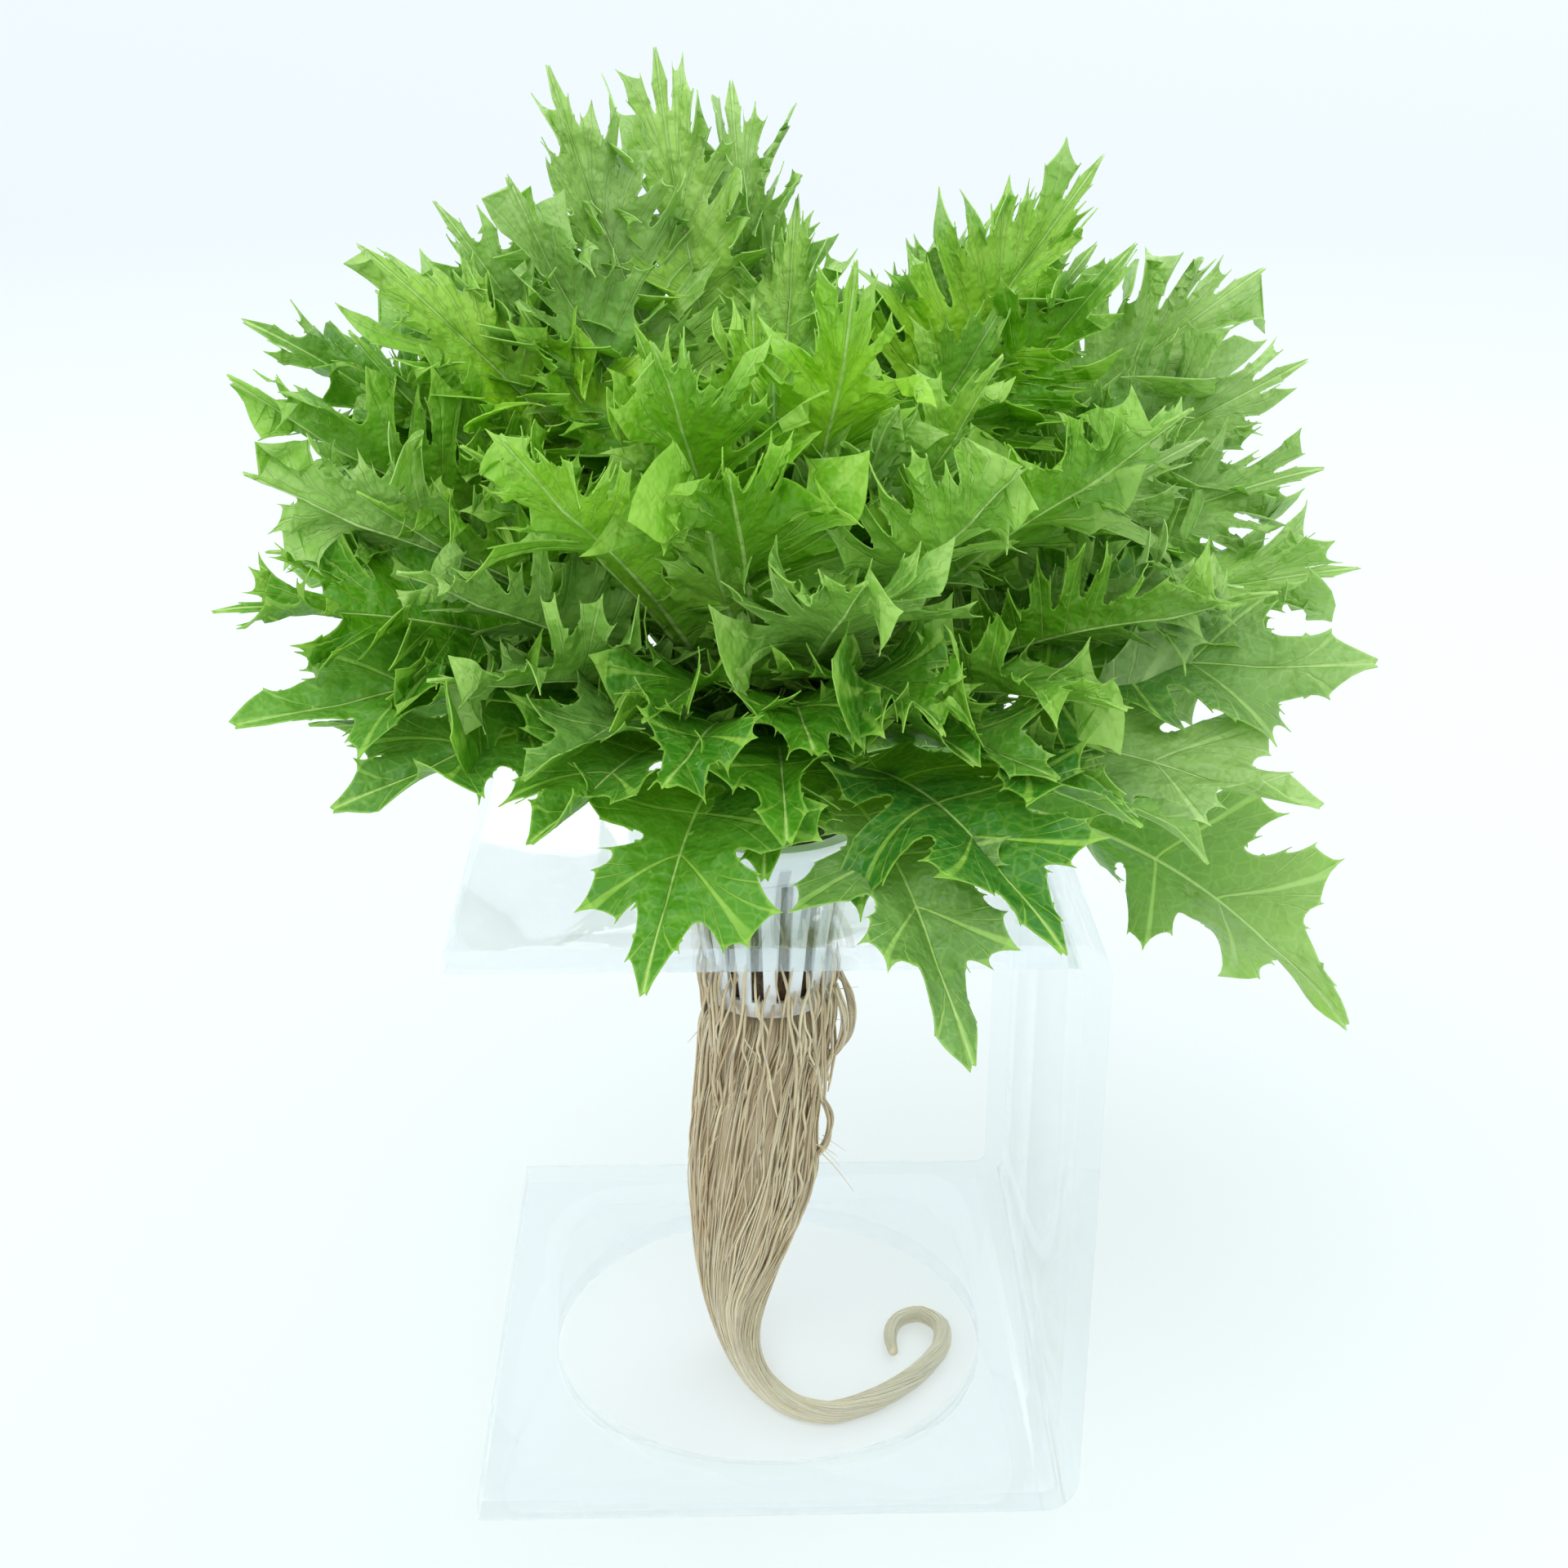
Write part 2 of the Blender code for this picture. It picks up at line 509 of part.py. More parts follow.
def leaf_half(leaf, seed, hand, ribs, columns):
    """Grid of points of one half of a leaf: a row for each rib, columns from the midrib out.

    A rib at x below 0 is on the stalk. Lobe k lies between x = k and x = k + 1, and the tip
    of the leaf is at x = LOBES + 0.5. hand is 1 for the left half and -1 for the right.
    """
    s, line, along, side, normal, length, bend = midrib(leaf)
    half_width = leaf[4] * MM
    end = LOBES + 0.5
    rng = np.random.default_rng(seed)
    tip_wave = rng.uniform(*TIP_WAVE_ANGLES)
    for _ in range(1 if hand > 0 else 2):
        phases = rng.uniform(0.0, 2.0 * math.pi, 2)
        lobe_sizes = rng.uniform(*LOBE_SIZES, LOBES + 2)
    ribs = np.asarray(ribs, float)
    b = np.clip(ribs / end, 0.0, 1.0)
    stalk = np.clip(1.0 + ribs / 2.0, 0.0, 1.0)
    place = np.where(ribs < 0, BLADE_START * stalk,
                     BLADE_START + (BLADE_END - BLADE_START) * b ** 0.9)
    turn = math.radians(RIB_TURN) * (1.0 - b ** 2.4)
    local = 2.0 * (ribs - np.floor(ribs)) - 1.0
    opening = np.sin(0.5 * math.pi * np.clip(b / WIDEST_AT, 0.0, 1.0)) ** 1.2
    widen = BASE_WIDTH + (1.0 - BASE_WIDTH) * opening
    tip_length = (1.0 - BLADE_END) * length
    spread = half_width * widen
    spread += (tip_length - half_width) * smooth(WIDEST_AT, 1.0, b)
    sizes = np.interp(ribs, np.arange(LOBES + 2) - 0.5, lobe_sizes)
    sizes += (1.0 - sizes) * smooth(0.85, 1.0, b)
    blade = spread * sizes * (1.0 - LOBE_DEPTH * np.abs(local) ** 3)
    blade += TOOTH_HEIGHT * (1.0 - np.abs(local) ** 2) * smooth(0.0, 0.3, b)
    stalk_half = PETIOLE_HALF[0] + (PETIOLE_HALF[1] - PETIOLE_HALF[0]) * stalk
    reach = np.where(ribs < 0, stalk_half, np.maximum(blade, PETIOLE_HALF[1]))
    wave = WAVE_ANGLE * np.sin(math.pi * ribs + phases[0])
    ripple = RIPPLE_ANGLE * np.sin(2.1 * math.pi * ribs + phases[1])
    gather = smooth(0.0, 0.2, b)
    tip_share = smooth(0.8, 1.0, b)
    root = [np.array([np.interp(place, s, field[:, k]) for k in range(3)]).T
            for field in (line, along, side, normal)]
    position = root[0].copy()
    rows = [position.copy()]
    for step in range(RIB_STEPS):
        t = (step + 0.5) / RIB_STEPS
        lift = (wave * t + ripple * t * t) * gather * (1 - tip_share) + tip_wave * tip_share * t
        angle = np.radians(CUP_ANGLE + lift) - np.cos(turn) * bend * reach * t
        flare = LOBE_FLARE * np.sin(math.pi * local) * t * t * gather
        heading = turn - flare
        forward = np.cos(heading)[:, None] * root[1] + hand * np.sin(heading)[:, None] * root[2]
        step_vector = np.cos(angle)[:, None] * forward + np.sin(angle)[:, None] * root[3]
        position = position + step_vector * (reach / RIB_STEPS)[:, None]
        rows.append(position.copy())
    grid = np.array(rows)
    picks = np.round(np.asarray(columns) * RIB_STEPS).astype(int)
    return grid[picks].transpose(1, 0, 2)


def keep_clear(points):
    """Lift or push out the points that would enter the top plate, its air gap or the pot's rim."""
    out = points.copy()
    floor = STAND_HEIGHT + CLEAR_OF_STAND
    reach_x = STAND_WIDTH / 2 + CLEAR_OF_STAND - np.abs(out[:, 0])
    reach_y = STAND_DEPTH / 2 + CLEAR_OF_STAND - np.abs(out[:, 1])
    depth = floor - out[:, 2]
    inside = (reach_x > 0) & (reach_y > 0) & (depth > 0)
    lift = inside & (depth <= np.minimum(reach_x, reach_y))
    push_x = inside & ~lift & (reach_x <= reach_y)
    push_y = inside & ~lift & (reach_x > reach_y)
    out[lift, 2] = floor
    out[push_x, 0] += np.sign(out[push_x, 0]) * reach_x[push_x]
    out[push_y, 1] += np.sign(out[push_y, 1]) * reach_y[push_y]
    radius = np.hypot(out[:, 0] - AXIS_X, out[:, 1] - AXIS_Y)
    rim = STAND_HEIGHT + GAP + POT_RIM_THICKNESS + CLEAR_OF_RIM
    low = (radius < POT_RIM_RADIUS + CLEAR_OF_RIM) & (out[:, 2] < rim)
    out[low, 2] = rim
    return out


def sheet_normals(points, triangles):
    """Unit normal at each point, weighted by the area of the triangles around it."""
    a, b, c = (points[triangles[:, k]] for k in range(3))
    crosses = np.cross(b - a, c - a)
    normals = np.zeros_like(points)
    for k in range(3):
        np.add.at(normals, triangles[:, k], crosses)
    return normals / np.linalg.norm(normals, axis=1)[:, None]


def thicken(points, triangles, above, below):
    """Closed solid from a sheet: both faces have the same triangles, and the rim joins them."""
    normals = sheet_normals(points, triangles)
    count = len(points)
    top = points + normals * above[:, None]
    bottom = points - normals * below[:, None]
    faces = [tuple(t) for t in triangles.tolist()]
    faces += [(c + count, b + count, a + count) for a, b, c in triangles.tolist()]
    edges = {}
    for a, b, c in triangles.tolist():
        for start, end in ((a, b), (b, c), (c, a)):
            edges[(start, end)] = True
    for start, end in edges:
        if (end, start) not in edges:
            faces.append((end, start, start + count))
            faces.append((end, start + count, end + count))
    return np.vstack((top, bottom)), faces


def make_leaf(name, leaf, seed):
    ribs = np.concatenate(((-2.0,), np.arange(0.0, LOBES, 0.5), TIP_RIBS))
    left = leaf_half(leaf, seed, 1, ribs, (0.0, 1.0))
    right = leaf_half(leaf, seed, -1, ribs, (0.0, 1.0))
    rows = len(ribs)
    points = np.vstack((left[:, 0], left[:, 1], right[:-1, 1]))
    triangles = []
    for i in range(rows - 1):
        k = i + 1
        mid, mid_on = i, k
        edge, edge_on = rows + i, rows + k
        other = 2 * rows + i
        other_on = 2 * rows + k if k < rows - 1 else edge_on
        triangles += [(mid, mid_on, edge), (mid_on, edge_on, edge)]
        triangles += [(mid, other, mid_on), (mid_on, other, other_on)]
    triangles = np.array(triangles)
    points = keep_clear(points)
    share = np.concatenate((np.arange(rows), np.arange(rows), np.arange(rows - 1))) / (rows - 1)
    is_mid = np.arange(len(points)) < rows
    keel = KEEL_THICKNESS[0] + (KEEL_THICKNESS[1] - KEEL_THICKNESS[0]) * share ** 0.7
    below = np.where(is_mid, keel, MARGIN_THICKNESS / 2)
    above = np.full(len(points), MARGIN_THICKNESS / 2)
    solid, faces = thicken(points, triangles, above, below)
    return mesh_object(name, solid, faces)


def make_head():
    green = material("leaf_green", (0.13, 0.32, 0.03), 0.45)
    profile = [(radius * MM, height * MM) for radius, height in STEM_PROFILE]
    head = turned("lettuce_head", profile, STEM_STEPS, green)
    leaves = []
    for i, leaf in enumerate(LEAVES):
        leaves.append(make_leaf(f"leaf_{i}", leaf, 100 + i))
    boolean(head, gathered("leaf_blades", leaves), "UNION", "MANIFOLD")
    keep_largest_body(head)
    return head


def centre_on_floor(items):
    """Move everything so that the middle of the bounding box is over the origin."""
    bpy.context.view_layer.update()
    corners = np.array([v.co[:] for item in items for v in item.data.vertices])
    middle = (corners.min(axis=0) + corners.max(axis=0)) / 2
    for item in items:
        item.location = (-middle[0], -middle[1], 0.0)


def main():
    clear_scene()
    items = [make_stand(), make_pot(), make_plug(), make_roots(), make_head()]
    centre_on_floor(items)


main()
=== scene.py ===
"""Looks of the green leaf lettuce in its net pot and clear display stand.

Every piece is placed from the fixed frame. Sizes are in metres unless a name says otherwise.
"""
import json
import math

import bpy
import numpy as np
from mathutils import Matrix, Vector
from mathutils.geometry import delaunay_2d_cdt

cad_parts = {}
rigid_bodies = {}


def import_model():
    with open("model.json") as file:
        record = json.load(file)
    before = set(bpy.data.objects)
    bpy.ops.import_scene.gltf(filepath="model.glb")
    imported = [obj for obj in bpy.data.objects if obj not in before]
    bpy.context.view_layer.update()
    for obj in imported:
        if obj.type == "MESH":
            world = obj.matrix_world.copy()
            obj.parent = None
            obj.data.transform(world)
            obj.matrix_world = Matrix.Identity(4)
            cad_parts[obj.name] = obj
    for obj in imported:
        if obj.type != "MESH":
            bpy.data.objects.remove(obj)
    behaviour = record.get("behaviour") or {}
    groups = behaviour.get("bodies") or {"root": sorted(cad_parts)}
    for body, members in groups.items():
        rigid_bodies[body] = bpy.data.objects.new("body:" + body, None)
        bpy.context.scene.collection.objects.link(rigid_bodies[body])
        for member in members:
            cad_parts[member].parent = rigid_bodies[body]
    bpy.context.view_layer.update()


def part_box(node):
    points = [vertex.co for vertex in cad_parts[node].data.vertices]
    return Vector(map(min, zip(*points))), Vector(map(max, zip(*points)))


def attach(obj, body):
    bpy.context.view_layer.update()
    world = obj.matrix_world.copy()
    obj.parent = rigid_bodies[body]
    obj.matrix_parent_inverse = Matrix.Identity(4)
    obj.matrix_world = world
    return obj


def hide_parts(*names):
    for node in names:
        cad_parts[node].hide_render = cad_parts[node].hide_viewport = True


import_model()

MM = 0.001

# Places read from the frame: the stand's middle, and the axis of the pot and the stem
STAND_LOW, STAND_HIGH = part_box("display_stand")
STAND_X = (STAND_LOW.x + STAND_HIGH.x) / 2
STAND_Y = (STAND_LOW.y + STAND_HIGH.y) / 2
STAND_TOP = STAND_HIGH.z
AXIS = np.array((STAND_X - 1.0 * MM, STAND_Y - 5.4 * MM, 0.0))

# Camera, placed from the stand's middle
CAMERA_PLACE = (STAND_X - 12.6 * MM, STAND_Y - 514 * MM, 374.6 * MM)
CAMERA_PITCH = 22.08
CAMERA_YAW = 1.73
CAMERA_ROLL = 0.23
CAMERA_LENS = 50.08
CAMERA_SENSOR = 36.0

# Stand
SHEET = 6 * MM
BEND_RADIUS = 9 * MM
BEND_STEPS = 14
POT_HOLE_RADIUS = 24.2 * MM
BASE_HOLE_RADIUS = 58.6 * MM
HOLE_STEPS = 160
STAND_EDGE = 0.35 * MM
CLEAR_SHARE = 0.65
CLEAR_TINT = (0.985, 0.995, 1.0)
CLEAR_THROUGH = (0.965, 0.985, 0.985, 1.0)

# Net pot
POT_LOW, POT_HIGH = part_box("net_pot")
POT_BOTTOM = POT_LOW.z
POT_TOP = POT_HIGH.z
RIM_THICKNESS = 2.2 * MM
RIM_RADIUS = (POT_HIGH.x - POT_LOW.x) / 2
POT_TOP_RADIUS = 23.2 * MM
POT_BOTTOM_RADIUS = 15.5 * MM
POT_WALL = 1.2 * MM
POT_FLOOR = 1.5 * MM
ROOT_HOLE_RADIUS = 6.5 * MM
SLOT_COUNT = 16
SLOT_WIDTH = 3.2 * MM
SLOT_LOW = 114.5 * MM
SLOT_HIGH = 149.5 * MM
FLOOR_SLOT_COUNT = 8
FLOOR_SLOT_WIDTH = 2.2 * MM
FLOOR_SLOT_INNER = 8.0 * MM
FLOOR_SLOT_OUTER = 13.0 * MM
POT_STEPS = 192
POT_EDGE = 0.22 * MM
POT_WHITE = (0.84, 0.87, 0.89)
POT_STAIN = (0.50, 0.42, 0.30)
STAIN_HEIGHT = 16 * MM

# Growing plug
PLUG_LOW, PLUG_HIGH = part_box("growing_plug")
PLUG_HOLE_RADIUS = 5.2 * MM
PLUG_CLEARANCE = 0.75 * MM
PLUG_STEPS = 150
PLUG_RINGS = 60
PLUG_SEED = 21
PLUG_ROUGH = 0.6 * MM
PLUG_PITS = 1.6
PLUG_BROWN = (0.035, 0.022, 0.012), (0.22, 0.14, 0.07)
PLUG_GREY = (0.10, 0.11, 0.075), (0.30, 0.32, 0.24)
GREY_FROM = (130 * MM, 139 * MM)

# Short stem, as (radius, height) up its outside, in millimetres
STEM_PROFILE = ((4.7, 131), (4.7, 154), (8.5, 163), (9.0, 170), (7.0, 184), (4.0, 193))
STEM_STEPS = 40
STEM_COLOURS = (0.36, 0.52, 0.16), (0.62, 0.72, 0.38)

# Leaves: azimuth (0 right, 90 back, 180 left, 270 front), reach of the tip from the axis,
# rise of the tip above the crown, arch of the midrib, half width of the blade and roll about
# the midrib. Degrees and millimetres, the same leaves as in the part's source.
TALL_LEAVES = (
    (150, 64, 170, 12, 28, -30), (123, 54, 173, 10, 26, -15), (98, 60, 166, 12, 28, -10),
    (75, 30, 142, 14, 26, 0), (172, 64, 148, 12, 28, -50), (20, 86, 151, 14, 34, 60),
    (44, 66, 130, 16, 30, 35), (62, 48, 120, 16, 28, 15), (78, 88, 108, 18, 32, 0))
LEFT_LEAVES = (
    (163, 84, 140, 16, 34, -45), (138, 90, 134, 16, 32, -25), (178, 95, 134, 18, 32, -60),
    (174, 125, 115, 20, 36, -50), (152, 112, 116, 20, 32, -30), (186, 126, 103, 18, 36, 50),
    (193, 122, 84, 22, 34, 45), (198, 131, 60, 26, 36, -25), (205, 130, 34, 38, 40, -25),
    (216, 117, 20, 42, 40, -15))
FRONT_LEAVES = (
    (242, 107, 23, 42, 32, 0), (257, 103, 38, 38, 30, 0), (255, 106, -4, 56, 38, 0),
    (289, 116, -18, 54, 34, 0), (300, 115, 2, 46, 38, 0), (315, 108, 19, 40, 36, -15),
    (288, 60, 136, 12, 28, 0), (263, 84, 104, 14, 38, 0), (250, 74, 126, 12, 32, 0),
    (234, 96, 104, 16, 34, 15), (281, 92, 80, 16, 34, 0), (306, 88, 98, 16, 34, -10),
    (330, 104, 104, 18, 32, -30))
RIGHT_LEAVES = (
    (345, 144, -48, 38, 42, -70), (336, 134, 12, 32, 38, 20), (350, 144, 36, 28, 40, 35),
    (4, 146, 52, 24, 36, 45), (11, 143, 75, 22, 34, 50), (20, 147, 95, 20, 38, 55),
    (30, 152, 115, 18, 36, 50))
BACK_LEAVES = (
    (45, 138, 36, 34, 36, 0), (60, 126, 80, 26, 36, 0), (82, 134, 38, 34, 38, 0),
    (102, 126, 84, 24, 36, 0), (122, 136, 44, 32, 38, 0), (158, 134, 38, 34, 36, 0))
LEAVES = TALL_LEAVES + LEFT_LEAVES + FRONT_LEAVES + RIGHT_LEAVES + BACK_LEAVES

# Smaller leaves that fill the head between the large ones
FILL_LEAVES = (
    (142, 128, 86, 24, 34, 0),
    (200, 24, 98, 14, 19, 0), (325, 24, 92, 14, 19, 0), (270, 44, 112, 8, 26, 0),
    (240, 50, 114, 10, 26, 10), (301, 52, 108, 10, 26, -10),
    (256, 62, 84, 10, 28, 0), (293, 88, 46, 44, 30, 0), (322, 66, 86, 12, 28, -20),
    (226, 68, 84, 12, 28, 20), (208, 78, 96, 16, 26, 35), (346, 84, 86, 16, 28, -45),
    (271, 92, 26, 44, 30, 0), (309, 94, 28, 44, 30, 0), (236, 94, 32, 44, 28, 0),
    (15, 62, 122, 12, 26, 50), (182, 60, 122, 12, 26, -50), (70, 80, 70, 24, 28, 0),
    (115, 80, 74, 24, 28, 0), (40, 90, 70, 24, 28, 0), (150, 88, 66, 24, 28, 0),
    (262, 36, 128, 8, 26, 0), (300, 40, 120, 8, 26, 0), (228, 46, 122, 10, 24, 15),
    (336, 58, 112, 12, 26, -30), (196, 98, 80, 18, 30, 45), (160, 72, 130, 12, 26, -45),
    (8, 108, 86, 16, 30, 50), (352, 112, 58, 20, 30, -50), (262, 46, 98, 8, 28, 0),
    (284, 50, 96, 8, 28, 0), (222, 98, 48, 34, 30, 25), (318, 100, 44, 34, 30, -25),
    (275, 84, 40, 46, 28, 0), (250, 82, 44, 46, 28, 0), (300, 84, 34, 46, 28, 0),
    (268, 82, 12, 52, 30, 0), (186, 118, 66, 24, 30, 50), (204, 112, 30, 34, 30, 35),
    (326, 116, 10, 36, 32, -25), (30, 96, 128, 12, 28, 50), (12, 90, 132, 12, 26, 60),
    (110, 50, 152, 10, 24, 0), (140, 60, 150, 10, 24, -30), (85, 44, 140, 10, 24, 0),
    (170, 92, 128, 14, 28, -50), (184, 100, 112, 16, 28, 55), (340, 120, 60, 24, 30, -45),
    (212, 96, 70, 20, 30, 35), (28, 84, 146, 14, 30, 55), (38, 72, 136, 14, 28, 40))

# One leaf, as in the part's source
CROWN_HEIGHT = 165 * MM
CROWN_RISE = 20 * MM
LEAF_START = 5.5 * MM
LEAF_STEPS = 33
LOBES = 3
BLADE_START = 0.28
BLADE_END = 0.82
PETIOLE_HALF = (2.6 * MM, 5.0 * MM)
LOBE_SIZES = (0.82, 1.12)
BASE_WIDTH = 0.18
WIDEST_AT = 0.55
RIB_TURN = 78
TOOTH_HEIGHT = 3.5 * MM
CUP_ANGLE = 14
WAVE_ANGLE = 38
RIPPLE_ANGLE = 27
TIP_WAVE_ANGLES = (-27, 16)

# Fine form of a leaf. Upper leaves have more lobes. A tooth has a place in its lobe and a share
# of the lobe's reach, and deep sinuses part the lobes.
RIB_END = LOBES + 0.5
STALK_RIBS = 2.0
TURN_POWER = 3.4
PLAIN_LOBES = 4
FINE_LOBES = (9, 13)
LOBE_LENGTH = 11 * MM
FINE_RISE = 42
LOBE_TEETH = ((0.18, 0.80), (0.46, 1.0), (0.76, 0.86))
PLAIN_TEETH = ((0.15, 0.66), (0.31, 0.87), (0.5, 1.0), (0.69, 0.87), (0.85, 0.66))
TIP_TEETH = ((0.22, 0.74),)
TIP_SINUS = 0.55
TIP_SHARE = 1.0
LOBE_CROWD = 0.4
CROWN_SPREAD = 0.10
TOOTH_JITTER = 0.04
TOOTH_SIZES = (0.88, 1.06)
FINGER_SIZES = (0.70, 1.05)
SPINES = ((0.22, 0.14), (0.78, -0.14))
TOOTH_CHANCE = 0.94
TOOTH_STEPS = (0.09, 0.24, 0.42, 0.58, 0.76, 0.91)
SINUS_STEPS = (0.05, 0.13, 0.22, 0.32, 0.42, 0.5, 0.58, 0.68, 0.78, 0.87, 0.95)
TOOTH_DIP = (2.0 * MM, 4.4 * MM)
SINUS_BOTTOM = (0.22, 0.56)
SINUS_OVERHANG = (0.05, 0.18)
FULL_REACH = 22 * MM
LOBE_FLARE = 2.0

# Waves of the fine form, in degrees: frills as (waves in a lobe, angle, power of the reach)
FRILLS = ((0.28, 32, 1.0), (0.55, 42, 1.5), (0.9, 34, 2.0))
CURL_ANGLE = (-60, 90)
CURL_POWER = 2.0
TOOTH_CURL = (-55, 85)
TOOTH_POWER = 3.5
LOBE_CUP = 18
LEAN = 0.6
LEAN_WAVES = 0.37
TWIST = 55
CALM = 0.35
CALM_RISE = (5.0, 60.0)

# Seeds: a leaf's waves as in the part's source, its outline, its fine waves and its tone
WAVE_SEED, OUTLINE_SEED, FINE_SEED, TONE_SEED = 100, 1000, 2000, 500

# Steps of a leaf's surface table and the cells of its mesh
TABLE_RIBS = 441
TABLE_STEPS = 40
TABLE_REACH = 1.35
RIB_SEARCH = 600
CELL = 1.6 * MM
RIB_CELL = 2.2 * MM
RIB_ROWS = (0.8 * MM, 1.9 * MM)
SHARP_EDGE = 60
VEIN_SHARE = 0.3
TIP_FADE = (0.92, 1.0)
LEAF_THICKNESS = 0.5 * MM
KEEL_THICKNESS = (3.4 * MM, 0.7 * MM)
MIDRIB_WIDTH = (3.4 * MM, 0.7 * MM)
CLEAR_OF_STAND = 1.6 * MM
CLEAR_OF_RIM = 1.2 * MM

# Root bundle: centre line with its half width and how flat it is, in millimetres from the
# stand's middle, as in the part's source
ROOT_PATH = (
    (-1.0, -5.4, 109.3, 14.6, 1.0), (-1.0, -5.4, 106, 16.6, 1.0), (-1.8, -4.6, 99, 17.4, 0.92),
    (-3.0, -2.5, 88, 17.0, 0.85),
    (-4.5, -1.0, 70, 17.0, 0.8), (-5.5, 0.0, 50, 17.3, 0.75), (-7.5, 0.0, 35, 14.5, 0.75),
    (-9.5, -1.0, 22, 11.5, 0.8), (-10.0, -5.0, 12.5, 8.5, 0.8), (-9.0, -12.5, 6.8, 5.8, 0.85),
    (-6.5, -22.0, 4.6, 4.1, 0.95), (-1.5, -32.0, 3.8, 3.4, 1.0), (5.5, -39.5, 3.5, 3.1, 1.0),
    (14.5, -42.0, 3.4, 3.0, 1.0), (24.0, -38.5, 3.4, 3.0, 1.0), (33.5, -31.5, 3.3, 2.9, 1.0),
    (42.0, -22.0, 3.1, 2.7, 1.0), (47.2, -11.5, 2.9, 2.5, 1.0), (47.2, -3.2, 2.8, 2.4, 1.0),
    (42.0, 1.8, 2.7, 2.3, 1.0), (35.8, -0.6, 2.6, 2.1, 1.0), (33.0, -7.6, 2.3, 1.9, 1.0),
    (33.4, -14.5, 1.9, 1.4, 1.0))
ROOT_LOOPS = (
    ((17.0, -6.0, 116), (20.5, -7.0, 108), (20.3, -7.0, 99), (16.5, -5.0, 91), (10.0, -3.5, 86)),
    ((16.0, -11.5, 114), (18.6, -11.0, 105), (17.6, -9.0, 96), (13.0, -6.5, 89), (8.0, -5.0, 84)),
    ((12.5, -3.0, 78), (15.5, -3.5, 71), (14.5, -2.5, 62), (9.5, -2.0, 55)))
ROOT_RINGS = 96
BUNDLE_STRANDS = 360
BUNDLE_SIDES = 4
WALL_STRANDS = 90
WALL_POINTS = 26
WALL_TOPS = (114, 129)
WALL_ENDS = (78, 96)
LOOP_STRANDS = 12
LOOP_POINTS = 40
STRAY_HAIRS = 24
HAIR_POINTS = 12
HAIR_HEIGHTS = (60, 112)
HAIR_LENGTHS = (4, 11)
CORE_SIDES = 48
CORE_SHARE = 0.89
CORE_TONE = 0.25
FLOOR_CLEARANCE = 0.15 * MM
STRAND_SEED, WALL_SEED, LOOP_SEED = 31, 41, 51

# Leaf colours, linear
LEAF_DARK = (0.044, 0.235, 0.004)
LEAF_GREEN = (0.190, 0.575, 0.002)
LEAF_LIGHT = (0.430, 0.790, 0.030)
# Deep blue-green of low leaves: partly their own colour, partly painted shade.
LEAF_DEEP_AND_SHADE = (0.034, 0.210, 0.034)
# Paler green where painted light falls.
LEAF_LIT_PALE = (0.620, 0.800, 0.330)
LEAF_UNDER = (0.420, 0.790, 0.080)
LEAF_FLECK = (0.230, 0.460, 0.020)
VEIN_GREEN = (0.490, 0.800, 0.120)
# Paler vein green where painted light falls.
VEIN_LIT_PALE = (0.680, 0.870, 0.430)
MIDRIB_PALE = (0.640, 0.840, 0.340)
LEAF_THROUGH = (0.570, 0.870, 0.050)
LEAF_THROUGH_SHARE = 0.36

# Tone of a leaf: its start, how much height and the inner leaves add, and the range of chance.
# Lower leaves are darker, partly their own older green and partly painted shade under the head.
# Low plain leaves are a deep blue-green, partly their own colour and partly painted shade.
# High leaves and those at the sides are paler: painted light where more light falls, with a chance per leaf.
TONE_START = 0.22
TONE_RISE = 0.56
TONE_INNER = 0.35
TONE_CHANCE = (-0.36, 0.30)
DEEP_PLAIN = (0.35, 1.0)
DEEP_OTHER = (-0.5, 0.45)
PALE_CHANCE = (-0.25, 0.35)

# Root colours, linear: strands and core dark and light, marks, the tail and grain
STRAND_COLOURS = (0.40, 0.29, 0.155), (0.75, 0.63, 0.42)
CORE_COLOURS = (0.40, 0.30, 0.17), (0.60, 0.48, 0.31)
ROOT_MARK = (0.50, 0.37, 0.21)
ROOT_TAIL = (0.76, 0.71, 0.50)
ROOT_GRAIN = (0.84, 0.76, 0.62)

# Light and background, linear colours
BACKGROUND = (0.86, 0.93, 0.975)
# The floor glows and is brighter near the middle, fading out from FLOOR_NEAR to FLOOR_FAR: painted light.
FLOOR_COLOUR = (0.378, 0.400, 0.405)
FLOOR_GLOW = (0.43, 0.46, 0.46)
FAR_COLOUR = (0.324, 0.347, 0.360)
FAR_GLOW = (0.39, 0.41, 0.42)
FLOOR_NEAR = 0.5
FLOOR_FAR = 2.5
FLOOR_REACH = 40.0
SKY_STRENGTH = 1.05
SUNS = (
    ("key", (-0.5, -0.55, 1.4), 1.15, 50), ("rear", (0.35, 0.9, 0.9), 0.7, 50),
    ("fill", (0.1, -1.0, 0.5), 0.3, 60))
LIGHT_BOUNCES = 9
DIFFUSE_BOUNCES = 4


def smooth(low, high, value):
    """0 at low, 1 at high, with an even start and end."""
    x = np.clip((value - low) / (high - low), 0.0, 1.0)
    return x * x * (3.0 - 2.0 * x)


def between(ends, share):
    """Value at a share of the way between two ends."""
    return ends[0] + (ends[1] - ends[0]) * share


def ease_between(x, places, values):
    """Values at rising places, joined with an even start and end."""
    i = np.clip(np.searchsorted(places, x, side="right") - 1, 0, len(places) - 2)
    return values[i] + (values[i + 1] - values[i]) * smooth(places[i], places[i + 1], x)


